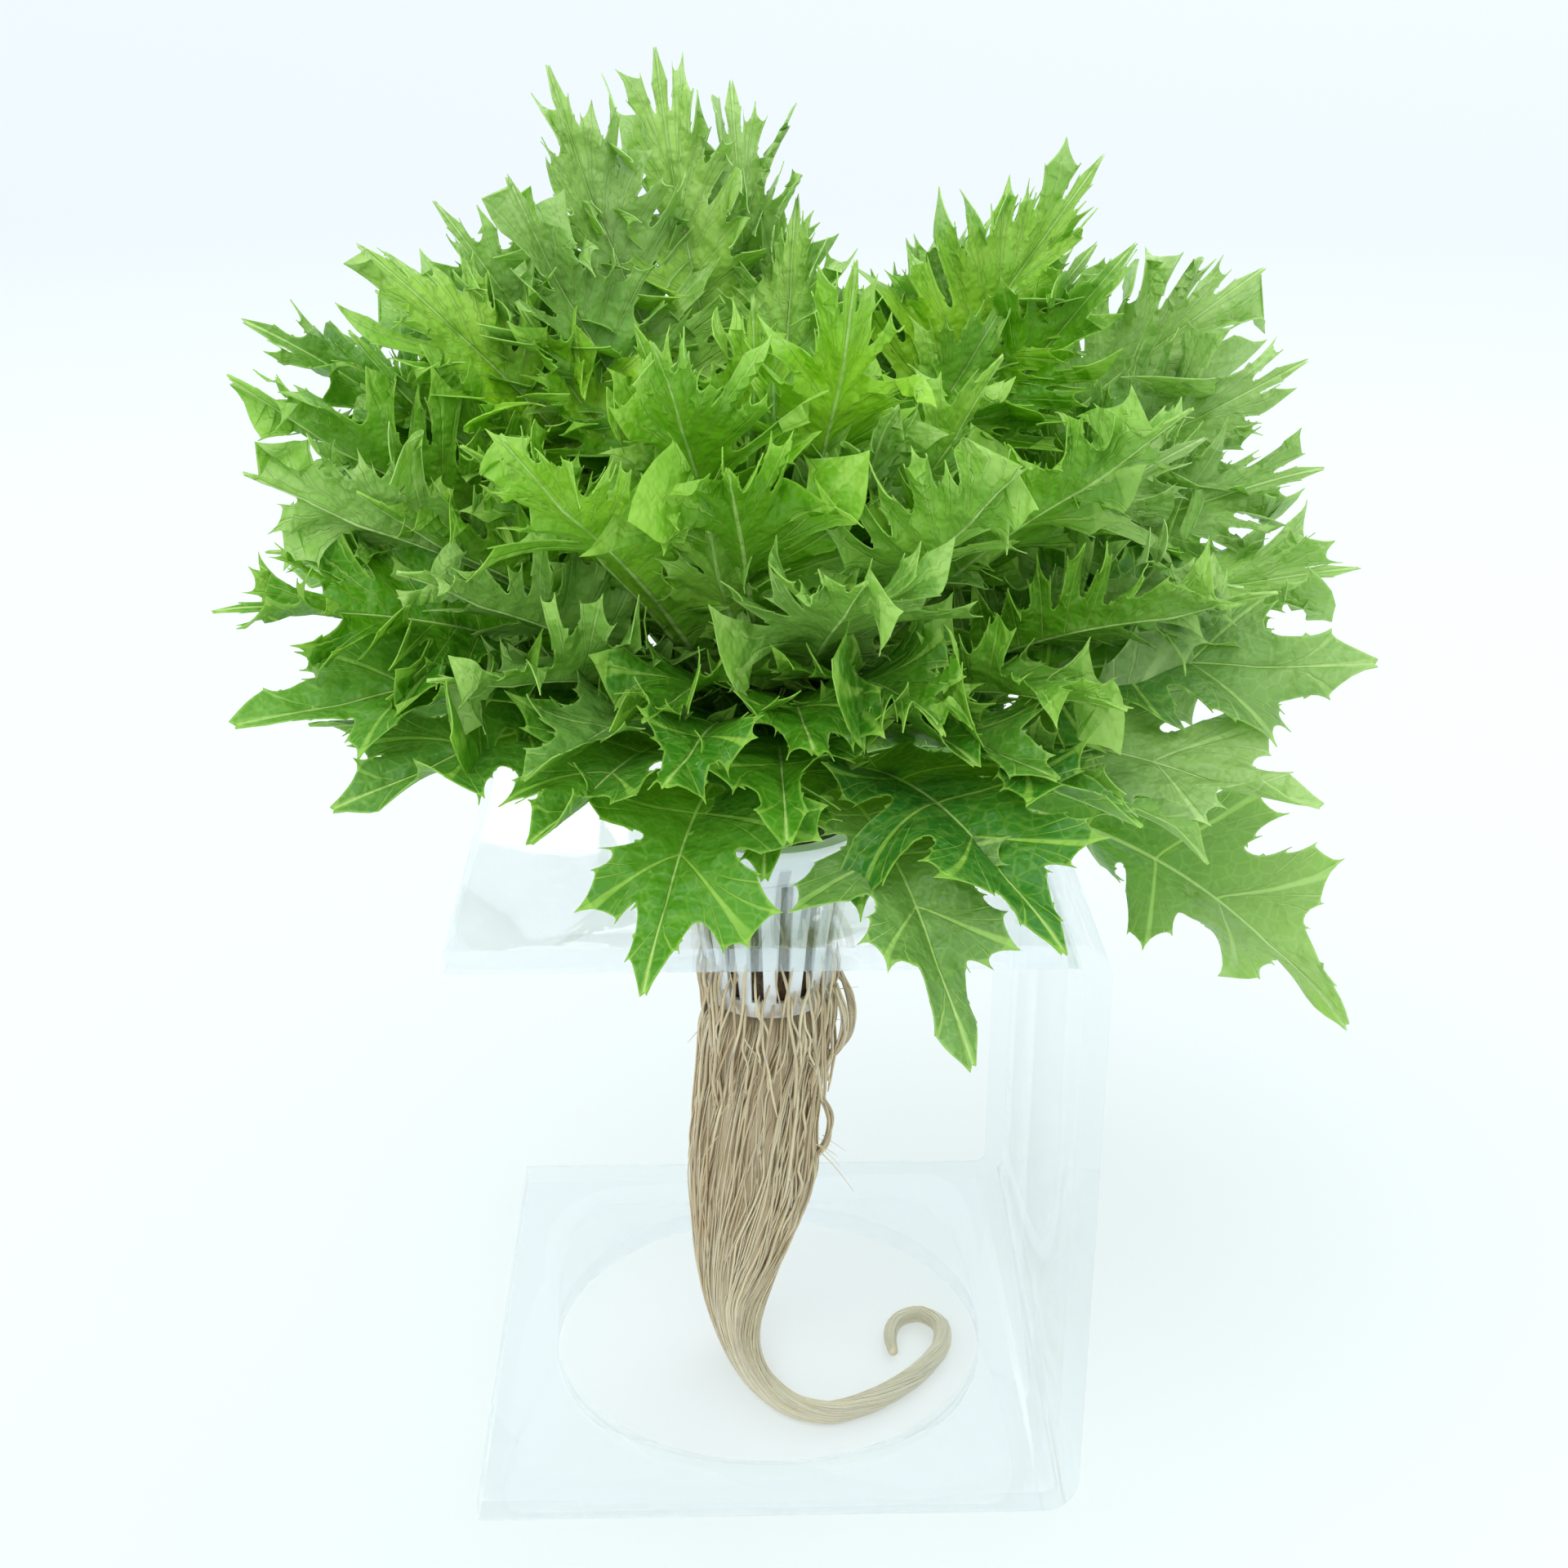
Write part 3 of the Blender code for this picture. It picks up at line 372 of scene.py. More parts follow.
def mesh_object(name, points, faces, mat):
    """Smooth-shaded object from points and faces."""
    mesh = bpy.data.meshes.new(name)
    mesh.from_pydata(np.asarray(points, float).tolist(), [], faces)
    mesh.polygons.foreach_set("use_smooth", np.ones(len(mesh.polygons), bool))
    mesh.materials.append(mat)
    item = bpy.data.objects.new(name, mesh)
    bpy.context.scene.collection.objects.link(item)
    return item


def keep_piece(item, node):
    """Let the piece ride on the root body and hide the part it stands for."""
    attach(item, "root")
    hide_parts(node)


def modify(item, kind, **settings):
    """Change the item's mesh by one modifier."""
    mod = item.modifiers.new(kind, kind)
    for key, value in settings.items():
        setattr(mod, key, value)
    graph = bpy.context.evaluated_depsgraph_get()
    result = bpy.data.meshes.new_from_object(item.evaluated_get(graph))
    item.modifiers.clear()
    item.data = result


def cut(item, cutters):
    """Cut every cutter from the item and remove the cutters."""
    group = bpy.data.collections.new("cutters")
    bpy.context.scene.collection.children.link(group)
    for cutter in cutters:
        bpy.context.scene.collection.objects.unlink(cutter)
        group.objects.link(cutter)
    modify(item, "BOOLEAN", operation="DIFFERENCE", solver="EXACT",
           operand_type="COLLECTION", collection=group)
    for cutter in list(group.objects):
        bpy.data.objects.remove(cutter, do_unlink=True)
    bpy.data.collections.remove(group)


def bevel(item, width, degrees):
    """Round the edges that are sharper than an angle, and shade smooth."""
    angle = math.radians(degrees)
    modify(item, "BEVEL", width=width, segments=2, limit_method="ANGLE",
           angle_limit=angle, harden_normals=False)
    item.data.shade_smooth()
    item.data.set_sharp_from_angle(angle=angle)


# Materials


class Nodes:
    """Short calls to add nodes to a material and join them."""

    def __init__(self, name):
        self.mat = bpy.data.materials.new(name)
        self.mat.use_nodes = True
        self.tree = self.mat.node_tree
        self.shader = self.tree.nodes["Principled BSDF"]
        self.output = self.tree.nodes["Material Output"]

    def add(self, kind, **settings):
        node = self.tree.nodes.new(kind)
        for key, value in settings.items():
            setattr(node, key, value)
        return node

    def put(self, value, socket):
        """Join an output to a socket, or set the socket to a plain value."""
        if isinstance(value, bpy.types.NodeSocket):
            self.tree.links.new(value, socket)
        else:
            socket.default_value = value

    def math(self, operation, a, b=0.0):
        node = self.add("ShaderNodeMath", operation=operation)
        self.put(a, node.inputs[0])
        self.put(b, node.inputs[1])
        return node.outputs[0]

    def times(self, a, b):
        return self.math("MULTIPLY", a, b)

    def scale(self, value, low, high, to_low=0.0, to_high=1.0):
        """Map a value from one range to another, with an even start and end."""
        node = self.add("ShaderNodeMapRange", interpolation_type="SMOOTHSTEP")
        for key, amount in (("Value", value), ("From Min", low), ("From Max", high),
                            ("To Min", to_low), ("To Max", to_high)):
            self.put(amount, node.inputs[key])
        return node.outputs["Result"]

    def mix(self, factor, a, b):
        node = self.add("ShaderNodeMix", data_type="RGBA")
        self.put(factor, node.inputs["Factor"])
        colours = [s for s in node.inputs if s.type == "RGBA"]
        self.put(as_colour(a), colours[0])
        self.put(as_colour(b), colours[1])
        return next(s for s in node.outputs if s.type == "RGBA")

    def attribute(self, name):
        node = self.add("ShaderNodeAttribute", attribute_name=name)
        split = self.add("ShaderNodeSeparateXYZ")
        self.tree.links.new(node.outputs["Vector"], split.inputs[0])
        return split.outputs

    def fill(self, node, **values):
        """Set or join inputs of a node by their names."""
        for key, value in values.items():
            self.put(value, node.inputs[key])
        return node.outputs

    def place(self, scale=(1.0, 1.0, 1.0)):
        """Object coordinates, stretched."""
        coords = self.add("ShaderNodeTexCoord").outputs["Object"]
        return self.fill(self.add("ShaderNodeMapping"), Scale=scale, Vector=coords)["Vector"]

    def height(self):
        """Height of the place in the object."""
        split = self.add("ShaderNodeSeparateXYZ")
        self.put(self.place(), split.inputs[0])
        return split.outputs[2]

    def noise(self, vector, scale, detail=3.0, roughness=0.5):
        node = self.add("ShaderNodeTexNoise")
        return self.fill(node, Vector=vector, Scale=scale, Detail=detail, Roughness=roughness)["Fac"]

    def cells(self, vector, scale):
        """Distance to the border of the nearest cell."""
        node = self.add("ShaderNodeTexVoronoi", feature="DISTANCE_TO_EDGE")
        return self.fill(node, Vector=vector, Scale=scale)["Distance"]

    def bump(self, height, distance, strength=1.0):
        node = self.add("ShaderNodeBump")
        normal = self.fill(node, Distance=distance, Strength=strength, Height=height)["Normal"]
        self.put(normal, self.shader.inputs["Normal"])

    def blend(self, factor, shader):
        """Mix the main shader with another one."""
        mixer = self.add("ShaderNodeMixShader")
        for socket, value in zip(mixer.inputs, (factor, self.shader.outputs[0], shader)):
            self.put(value, socket)
        self.put(mixer.outputs[0], self.output.inputs["Surface"])

    def set(self, **values):
        for key, value in values.items():
            socket = self.shader.inputs[key.replace("_", " ")]
            self.put(as_colour(value) if socket.type == "RGBA" else value, socket)


def as_colour(value):
    """A colour of three numbers gets its fourth."""
    if isinstance(value, (tuple, list)) and len(value) == 3:
        return (*value, 1.0)
    return value


def leaf_material():
    """Leaf blade: tone by place, pale veins and edge, paler underside.
    Painted light pales it high and at the sides, painted shade darkens it low down,
    and the pale edge is partly a painted highlight.
    """
    n = Nodes("leaf_blade")
    out, lobe, branch = n.attribute("leaf_place")
    tone, under, edge = n.attribute("leaf_look")
    share, paleness_and_light, deep = n.attribute("leaf_share")
    place = n.place()
    fine_noise = n.noise(place, 240.0, 2.0)
    spread = n.scale(n.noise(place, 28.0, 2.0), 0.3, 0.7, -0.2, 0.2)
    mixed_tone = n.math("ADD", tone, spread)
    # Tone from dark to light, lighter with height: partly the leaves' own green, partly painted shade low
    # down.
    blade = n.mix(mixed_tone, LEAF_DARK, LEAF_GREEN)
    blade = n.mix(n.scale(mixed_tone, 0.75, 1.25), blade, LEAF_LIGHT)
    # Deep blue-green of low leaves, partly painted shade.
    blade = n.mix(n.times(deep, 0.65), blade, LEAF_DEEP_AND_SHADE)
    # Paler high and at the sides: painted light, with a chance per leaf.
    blade = n.mix(n.times(paleness_and_light, 0.75), blade, LEAF_LIT_PALE)
    pale = n.mix(n.scale(share, 0.45, 0.95, 0.15, 0.6), blade, LEAF_UNDER)
    blade = n.mix(under, blade, pale)
    blade = n.mix(n.scale(fine_noise, 0.35, 0.75, 0.0, 0.16), blade, LEAF_FLECK)

    midrib = n.scale(out, 0.7, 1.25, 1.0, 0.0)
    lobe_turn = n.math("ABSOLUTE", n.math("SUBTRACT", n.math("FRACT", lobe), 0.5))
    main = n.times(n.scale(lobe_turn, 0.013, 0.038, 0.85, 0.0), n.scale(share, 0.5, 1.05, 1.0, 0.35))
    turn = n.math("FRACT", n.math("ADD", branch, 0.5))
    side = n.scale(n.math("ABSOLUTE", n.math("SUBTRACT", turn, 0.5)), 0.03, 0.10, 0.62, 0.0)
    net = n.scale(n.cells(place, 260.0), 0.02, 0.09, 0.2, 0.0)
    large = n.math("MAXIMUM", midrib, main)
    vein = n.math("MAXIMUM", large, n.math("MAXIMUM", side, net))
    vein = n.times(vein, n.scale(tone, 0.3, 0.8, 0.8, 0.65))
    # Veins are paler too where the painted light falls.
    line = n.mix(paleness_and_light, VEIN_GREEN, VEIN_LIT_PALE)
    blade = n.mix(vein, blade, line)
    blade = n.mix(n.times(midrib, 0.45), blade, MIDRIB_PALE)
    # Pale edge: partly the margin's own paler green, partly a painted highlight along it.
    blade = n.mix(n.scale(edge, 0.70, 0.98, 0.0, 0.5), blade, line)
    n.set(Base_Color=blade, Roughness=n.scale(fine_noise, 0.2, 0.8, 0.28, 0.42))
    n.set(IOR=1.38, Specular_IOR_Level=0.6)

    groove = n.times(n.math("MAXIMUM", large, side), -0.2)
    n.bump(n.math("ADD", groove, n.times(n.noise(place, 110.0, 3.0), 2.6)), 0.0020, 0.9)
    through = n.add("ShaderNodeBsdfTranslucent")
    n.blend(LEAF_THROUGH_SHARE, n.fill(through, Color=n.mix(0.6, blade, LEAF_THROUGH))[0])
    return n.mat


def clear_material():
    """Clear acrylic. Shadow rays pass, so that the floor under it stays bright."""
    n = Nodes("clear_acrylic")
    haze = n.noise(n.place(), 9.0, 2.0)
    n.set(Base_Color=CLEAR_TINT, Roughness=n.scale(haze, 0.3, 0.7, 0.015, 0.05))
    n.set(IOR=1.2, Transmission_Weight=1.0, Coat_Weight=0.25, Coat_Roughness=0.03)
    path = n.add("ShaderNodeLightPath")
    clear = n.add("ShaderNodeBsdfTransparent")
    see_through = n.math("MAXIMUM", path.outputs["Is Shadow Ray"], CLEAR_SHARE)
    n.blend(see_through, n.fill(clear, Color=CLEAR_THROUGH)[0])
    return n.mat


def pot_material():
    """White translucent moulded plastic, a little stained low down."""
    n = Nodes("white_plastic")
    place = n.place()
    stain = n.noise(place, 130.0, 5.0, 0.6)
    low = n.scale(n.height(), POT_BOTTOM, POT_BOTTOM + STAIN_HEIGHT, 1.0, 0.0)
    stained = n.times(low, n.scale(stain, 0.42, 0.66))
    n.set(Base_Color=n.mix(stained, POT_WHITE, POT_STAIN), Roughness=n.scale(stain, 0.2, 0.8, 0.28, 0.42))
    n.set(Subsurface_Weight=0.25, Subsurface_Scale=0.002, IOR=1.47)
    n.shader.inputs["Subsurface Radius"].default_value = (1.0, 1.0, 1.0)
    n.bump(n.noise(place, 420.0, 2.0), 0.0001, 0.5)
    return n.mat


def plug_material():
    """Pressed fibre: brown low down and grey-green higher up."""
    n = Nodes("plug_fibre")
    place = n.place((1.0, 1.0, 0.35))
    fibre = n.noise(place, 900.0, 6.0, 0.7)
    blotch = n.noise(place, 160.0, 4.0)
    brown, grey = (n.mix(n.scale(fibre, 0.3, 0.7), *pair) for pair in (PLUG_BROWN, PLUG_GREY))
    level = n.math("ADD", n.height(), n.scale(blotch, 0.3, 0.7, -0.006, 0.006))
    colour = n.mix(n.scale(level, *GREY_FROM), brown, grey)
    n.set(Base_Color=colour, Roughness=0.9)
    n.bump(n.math("ADD", fibre, blotch), 0.0012, 1.0)
    return n.mat


def root_material(name, dark, light, roughness):
    """Damp root fibre: pale strands with fine grain along them."""
    n = Nodes(name)
    tone, along, _ = n.attribute("root_look")
    place = n.place()
    streak = n.noise(n.place((1.0, 1.0, 0.12)), 700.0, 4.0, 0.6)
    mark = n.noise(place, 60.0, 3.0)
    colour = n.mix(tone, dark, light)
    colour = n.mix(n.scale(mark, 0.5, 0.75, 0.0, 0.35), colour, ROOT_MARK)
    colour = n.mix(n.scale(along, 0.25, 0.80, 0.0, 0.8), colour, ROOT_TAIL)
    colour = n.mix(n.scale(streak, 0.4, 0.8, 0.0, 0.25), colour, ROOT_GRAIN)
    n.set(Base_Color=colour, Roughness=n.scale(streak, 0.2, 0.8, roughness, roughness + 0.25))
    n.set(Subsurface_Weight=0.35, Subsurface_Scale=0.0015)
    n.shader.inputs["Subsurface Radius"].default_value = (1.0, 0.8, 0.5)
    n.bump(streak, 0.0003, 0.6)
    return n.mat


def floor_material():
    """Pale table that glows and is brighter near the middle: painted light that keeps it bright and its
    shadows faint.
    """
    n = Nodes("floor")
    length = n.add("ShaderNodeVectorMath", operation="LENGTH")
    n.put(n.place(), length.inputs[0])
    far = n.scale(length.outputs["Value"], FLOOR_NEAR, FLOOR_FAR)
    n.set(Base_Color=n.mix(far, FLOOR_COLOUR, FAR_COLOUR), Roughness=0.75, Specular_IOR_Level=0.1)
    n.set(Emission_Color=n.mix(far, FLOOR_GLOW, FAR_GLOW), Emission_Strength=1.0)
    return n.mat


# Stand


def arc(centre, radius, start, end):
    """Points of a bend in the XZ plane, angles in degrees."""
    angles = np.radians(np.linspace(start, end, BEND_STEPS + 1))
    return [(centre[0] + radius * math.cos(a), centre[1] + radius * math.sin(a)) for a in angles]


def stand_outline():
    """The bent sheet seen from the front, anticlockwise from its lower left corner."""
    left, right = STAND_LOW.x, STAND_HIGH.x
    bend_x = right - BEND_RADIUS
    low, high = (bend_x, BEND_RADIUS), (bend_x, STAND_TOP - BEND_RADIUS)
    inner = BEND_RADIUS - SHEET
    outline = [(left, 0.0)]
    outline += arc(low, BEND_RADIUS, -90, 0)
    outline += arc(high, BEND_RADIUS, 0, 90)
    outline += [(left, STAND_TOP), (left, STAND_TOP - SHEET)]
    outline += arc(high, inner, 90, 0)
    outline += arc(low, inner, 0, -90)
    outline.append((left, SHEET))
    return outline


def ring_point(radius, height, i, steps):
    """Point of a ring about the pot's axis."""
    angle = 2.0 * math.pi * i / steps
    return AXIS[0] + radius * math.cos(angle), AXIS[1] + radius * math.sin(angle), height


def tube_faces(rows, count, start=0):
    """Faces of a tube of rings of points, closed at both ends."""
    j, i = np.meshgrid(np.arange(rows - 1), np.arange(count), indexing="ij")
    k = (i + 1) % count
    quads = np.stack((j * count + i, j * count + k, (j + 1) * count + k, (j + 1) * count + i), axis=-1)
    ring = np.arange(start, start + count)
    ends = [ring[::-1].tolist(), (ring + (rows - 1) * count).tolist()]
    return (quads.reshape(-1, 4) + start).tolist() + ends


def turned(name, profile, steps, mat):
    """Solid turned about the pot's axis from (radius, height) points up its outside."""
    points = [ring_point(radius, height, i, steps) for radius, height in profile for i in range(steps)]
    return mesh_object(name, points, tube_faces(len(profile), steps), mat)


def make_stand():
    """Bent sheet with the pot's hole in its top plate and a large hole in its base plate."""
    mat = clear_material()
    outline = stand_outline()
    count = len(outline)
    points = [(x, y, z) for y in (STAND_LOW.y, STAND_HIGH.y) for x, z in outline]
    faces = [tuple(range(count)), tuple(reversed(range(count, 2 * count)))]
    for i in range(count):
        k = (i + 1) % count
        faces.append((k, i, count + i, count + k))
    stand = mesh_object("clear_stand", points, faces, mat)
    cutters = []
    holes = (("pot_hole", POT_HOLE_RADIUS, STAND_TOP - SHEET), ("base_hole", BASE_HOLE_RADIUS, 0.0))
    for name, radius, low in holes:
        profile = ((radius, low - SHEET), (radius, low + 2 * SHEET))
        cutters.append(turned(name, profile, HOLE_STEPS, mat))
    cut(stand, cutters)
    bevel(stand, STAND_EDGE, 40)
    keep_piece(stand, "display_stand")


# Net pot and plug


def revolve(name, profile, steps, mat):
    """Closed ring of a closed profile of (radius, height) about the pot's axis."""
    count = len(profile)
    points = [ring_point(radius, height, i, steps) for i in range(steps) for radius, height in profile]
    faces = []
    for i in range(steps):
        k = (i + 1) % steps
        for j in range(count):
            m = (j + 1) % count
            faces.append((i * count + j, k * count + j, k * count + m, i * count + m))
    return mesh_object(name, points, faces, mat)


def box(name, low, high, angle, mat):
    """Box between two corners, turned by an angle about the pot's axis."""
    cos, sin = math.cos(angle), math.sin(angle)
    points = []
    for z in (low[2], high[2]):
        for x, y in ((low[0], low[1]), (high[0], low[1]), (high[0], high[1]), (low[0], high[1])):
            points.append((AXIS[0] + x * cos - y * sin, AXIS[1] + x * sin + y * cos, z))
    faces = [(3, 2, 1, 0), (4, 5, 6, 7), (0, 1, 5, 4), (1, 2, 6, 5), (2, 3, 7, 6), (3, 0, 4, 7)]
    return mesh_object(name, points, faces, mat)


def make_pot():
    """Net pot with upright slots in its wall and short ones in its floor."""
    mat = pot_material()
    rim_low = POT_TOP - RIM_THICKNESS
    profile = (
        (POT_BOTTOM_RADIUS, POT_BOTTOM), (POT_TOP_RADIUS, rim_low), (RIM_RADIUS, rim_low),
        (RIM_RADIUS, POT_TOP), (POT_TOP_RADIUS - POT_WALL, POT_TOP),
        (POT_BOTTOM_RADIUS - POT_WALL, POT_BOTTOM + POT_FLOOR),
        (ROOT_HOLE_RADIUS, POT_BOTTOM + POT_FLOOR), (ROOT_HOLE_RADIUS, POT_BOTTOM))
    pot = revolve("pot_shell", profile, POT_STEPS, mat)
    kinds = (
        ("slot", SLOT_COUNT, 0.5, SLOT_WIDTH, POT_BOTTOM_RADIUS - 4 * POT_WALL, RIM_RADIUS,
         SLOT_LOW, SLOT_HIGH),
        ("floor_slot", FLOOR_SLOT_COUNT, 0.0, FLOOR_SLOT_WIDTH, FLOOR_SLOT_INNER, FLOOR_SLOT_OUTER,
         POT_BOTTOM - POT_FLOOR, POT_BOTTOM + 2 * POT_FLOOR))
    cutters = []
    for name, count, shift, width, inner, outer, low, high in kinds:
        for i in range(count):
            angle = 2.0 * math.pi * (i + shift) / count
            cutters.append(box(f"{name}_{i}", (inner, -width / 2, low), (outer, width / 2, high), angle, mat))
    cut(pot, cutters)
    bevel(pot, POT_EDGE, 35)
    keep_piece(pot, "net_pot")


def pot_outer_radius(height):
    """Outside radius of the pot's wall at a height."""
    slope = (POT_TOP_RADIUS - POT_BOTTOM_RADIUS) / (POT_TOP - RIM_THICKNESS - POT_BOTTOM)
    return POT_BOTTOM_RADIUS + (height - POT_BOTTOM) * slope


def pot_inner_radius(height):
    """Inside radius of the pot's wall at a height."""
    low = POT_BOTTOM + POT_FLOOR
    slope = (POT_TOP_RADIUS - POT_BOTTOM_RADIUS) / (POT_TOP - low)
    return POT_BOTTOM_RADIUS - POT_WALL + (height - low) * slope


def make_plug():
    """Rough ring of fibre that fills the pot, with a hole for the stem."""
    rng = np.random.default_rng(PLUG_SEED)
    heights = np.linspace(PLUG_LOW.z, PLUG_HIGH.z, PLUG_RINGS)
    radii = np.linspace(1.0, 0.0, 9)[1:-1]
    profile = [(PLUG_HOLE_RADIUS, PLUG_HIGH.z), (PLUG_HOLE_RADIUS, PLUG_LOW.z)]
    profile += [(pot_inner_radius(z) - PLUG_CLEARANCE, z) for z in heights]
    top = pot_inner_radius(PLUG_HIGH.z) - PLUG_CLEARANCE
    profile += [(PLUG_HOLE_RADIUS + (top - PLUG_HOLE_RADIUS) * r, PLUG_HIGH.z) for r in radii]
    plug = revolve("plug_body", profile, PLUG_STEPS, plug_material())
    points = np.array([v.co[:] for v in plug.data.vertices])
    offset = points - AXIS
    radius = np.hypot(offset[:, 0], offset[:, 1])
    outward = offset[:, :2] / radius[:, None]
    rough = rng.uniform(-0.9, 0.15, len(points)) * PLUG_ROUGH
    rough[radius < PLUG_HOLE_RADIUS + 0.1 * MM] = 0.0
    points[:, :2] += outward * rough[:, None]
    on_top = points[:, 2] > PLUG_HIGH.z - 0.1 * MM
    points[on_top, 2] -= rng.uniform(0.0, PLUG_PITS, on_top.sum()) * MM
    plug.data.vertices.foreach_set("co", points.ravel())
    keep_piece(plug, "growing_plug")


# Roots


def curve_through(points, count):
    """Evenly spaced points on a smooth curve through the given rows of numbers."""
    rows = np.asarray(points, float)
    steps = np.linalg.norm(np.diff(rows[:, :3], axis=0), axis=1)
    knots = np.concatenate(([0.0], np.cumsum(steps)))
    slopes = np.gradient(rows, knots, axis=0)
    places = np.linspace(0.0, knots[-1], count)
    i = np.clip(np.searchsorted(knots, places, side="right") - 1, 0, len(rows) - 2)
    h = (knots[i + 1] - knots[i])[:, None]
    u = (places - knots[i])[:, None] / h
    a = (2 * u ** 3 - 3 * u ** 2 + 1) * rows[i] + (u ** 3 - 2 * u ** 2 + u) * h * slopes[i]
    b = (3 * u ** 2 - 2 * u ** 3) * rows[i + 1] + (u ** 3 - u ** 2) * h * slopes[i + 1]
    return a + b


def path_frame(centres):
    """Tangent and two directions across it at each point of a line."""
    tangents = np.gradient(centres, axis=0)
    tangents /= np.linalg.norm(tangents, axis=1)[:, None]
    across = np.array((1.0, 0.0, 0.0))
    sides = []
    for tangent in tangents:
        across = across - tangent * across.dot(tangent)
        across = across / np.linalg.norm(across)
        sides.append(across)
    sides = np.array(sides)
    return tangents, sides, np.cross(tangents, sides)


def add_rings(store, points, looks):
    """Add one closed tube, given as rings of points, to a store of points, faces and looks."""
    rows, count = points.shape[:2]
    store["faces"] += tube_faces(rows, count, store["count"])
    store["points"].append(points.reshape(-1, 3))
    store["looks"].append(np.repeat(looks, count, axis=0))
    store["count"] += rows * count


def add_tube(store, centres, radii, count, looks):
    """Add one round tube along a line."""
    _, across, depth = path_frame(centres)
    angles = np.linspace(0.0, 2.0 * math.pi, count, endpoint=False)
    ring = np.cos(angles)[None, :, None] * across[:, None] + np.sin(angles)[None, :, None] * depth[:, None]
    add_rings(store, centres[:, None] + ring * np.asarray(radii)[:, None, None], looks)


def plain_looks(tone, rows):
    """Looks of a strand outside the bundle, with one tone."""
    return np.tile((tone, 0.0, 0.0), (rows, 1))


def new_store():
    """Empty store of points, faces and looks."""
    return {"points": [], "faces": [], "looks": [], "count": 0}


def store_object(name, store, mat):
    """One object from the tubes in a store, with their looks as an attribute."""
    points = np.vstack(store["points"])
    points[:, 2] = np.maximum(points[:, 2], FLOOR_CLEARANCE)
    item = mesh_object(name, points, store["faces"], mat)
    looks = item.data.attributes.new("root_look", "FLOAT_VECTOR", "POINT")
    looks.data.foreach_set("vector", np.vstack(store["looks"]).astype(np.float32).ravel())
    keep_piece(item, "roots")


def wander(rng, count, knots, size):
    """Smooth random line of numbers around 0."""
    values = rng.uniform(-size, size, knots)
    return np.interp(np.linspace(0, knots - 1, count), np.arange(knots), values)


def bundle_rows():
    """Centre line of the root bundle in the frame, with half width and flatness."""
    rows = curve_through(np.array(ROOT_PATH) * np.array((MM, MM, MM, MM, 1.0)), ROOT_RINGS)
    rows[:, 0] += STAND_X
    rows[:, 1] += STAND_Y
    return rows


def make_root_core(rows, mat):
    """Inner body of the bundle, under its strands."""
    store = new_store()
    share = np.linspace(0.0, 1.0, len(rows))
    _, across, depth = path_frame(rows[:, :3])
    angles = np.linspace(0.0, 2.0 * math.pi, CORE_SIDES, endpoint=False)
    turn = share[:, None] * 5.0
    ridges = 1.0 + 0.05 * np.sin(9 * angles + turn * 1.4) + 0.04 * np.sin(17 * angles - turn * 2.0)
    radii = rows[:, 3:4] * CORE_SHARE * ridges
    points = rows[:, None, :3] + radii[..., None] * (
        np.cos(angles)[None, :, None] * across[:, None]
        + np.sin(angles)[None, :, None] * depth[:, None] * rows[:, None, 4:5])
    add_rings(store, points, np.stack((np.full(len(rows), CORE_TONE), share, share), axis=1))
    store_object("root_core", store, mat)


def make_root_strands(rows, mat):
    """Strands that run down the bundle and twist together into its tail."""
    rng = np.random.default_rng(STRAND_SEED)
    _, across, depth = path_frame(rows[:, :3])
    total = len(rows)
    share = np.linspace(0.0, 1.0, total)
    parts = [new_store(), new_store()]
    for i in range(BUNDLE_STRANDS):
        end = total if i % 3 == 0 else int(total * rng.uniform(0.34, 0.95))
        start = 0 if i % 5 else int(total * rng.uniform(0.0, 0.25))
        part = slice(start, end)
        s = share[part]
        angle = 2.0 * math.pi * i / BUNDLE_STRANDS * 7 + rng.uniform(-0.2, 0.2)
        theta = angle + 1.2 * s + 5.0 * smooth(0.35, 1.0, s) + wander(rng, len(s), 9, 0.16)
        rho = rng.uniform(0.86, 1.0) + wander(rng, len(s), 12, 0.04)
        rho = np.clip(rho, 0.0, 1.03)
        radius = (0.17 + 0.36 * rng.uniform(0.0, 1.0) ** 2) * MM
        taper = 1.0 - 0.3 * smooth(0.3, 0.7, s)
        width = rows[part, 3] - radius * 0.5
        offset = (np.cos(theta)[:, None] * across[part]
                  + (np.sin(theta) * rows[part, 4])[:, None] * depth[part])
        centres = rows[part, :3] + offset * (rho * width)[:, None]
        ends = np.minimum(np.arange(len(s)), np.arange(len(s))[::-1]) / 3.0
        radii = radius * taper * np.clip(0.25 + ends, 0.25, 1.0)
        tone = np.full(len(s), rng.uniform(0.1, 1.0))
        add_tube(parts[i % 2], centres, radii, BUNDLE_SIDES, np.stack((tone, s, s), axis=1))
    for number, store in enumerate(parts):
        store_object(f"root_strands_{number + 1}", store, mat)


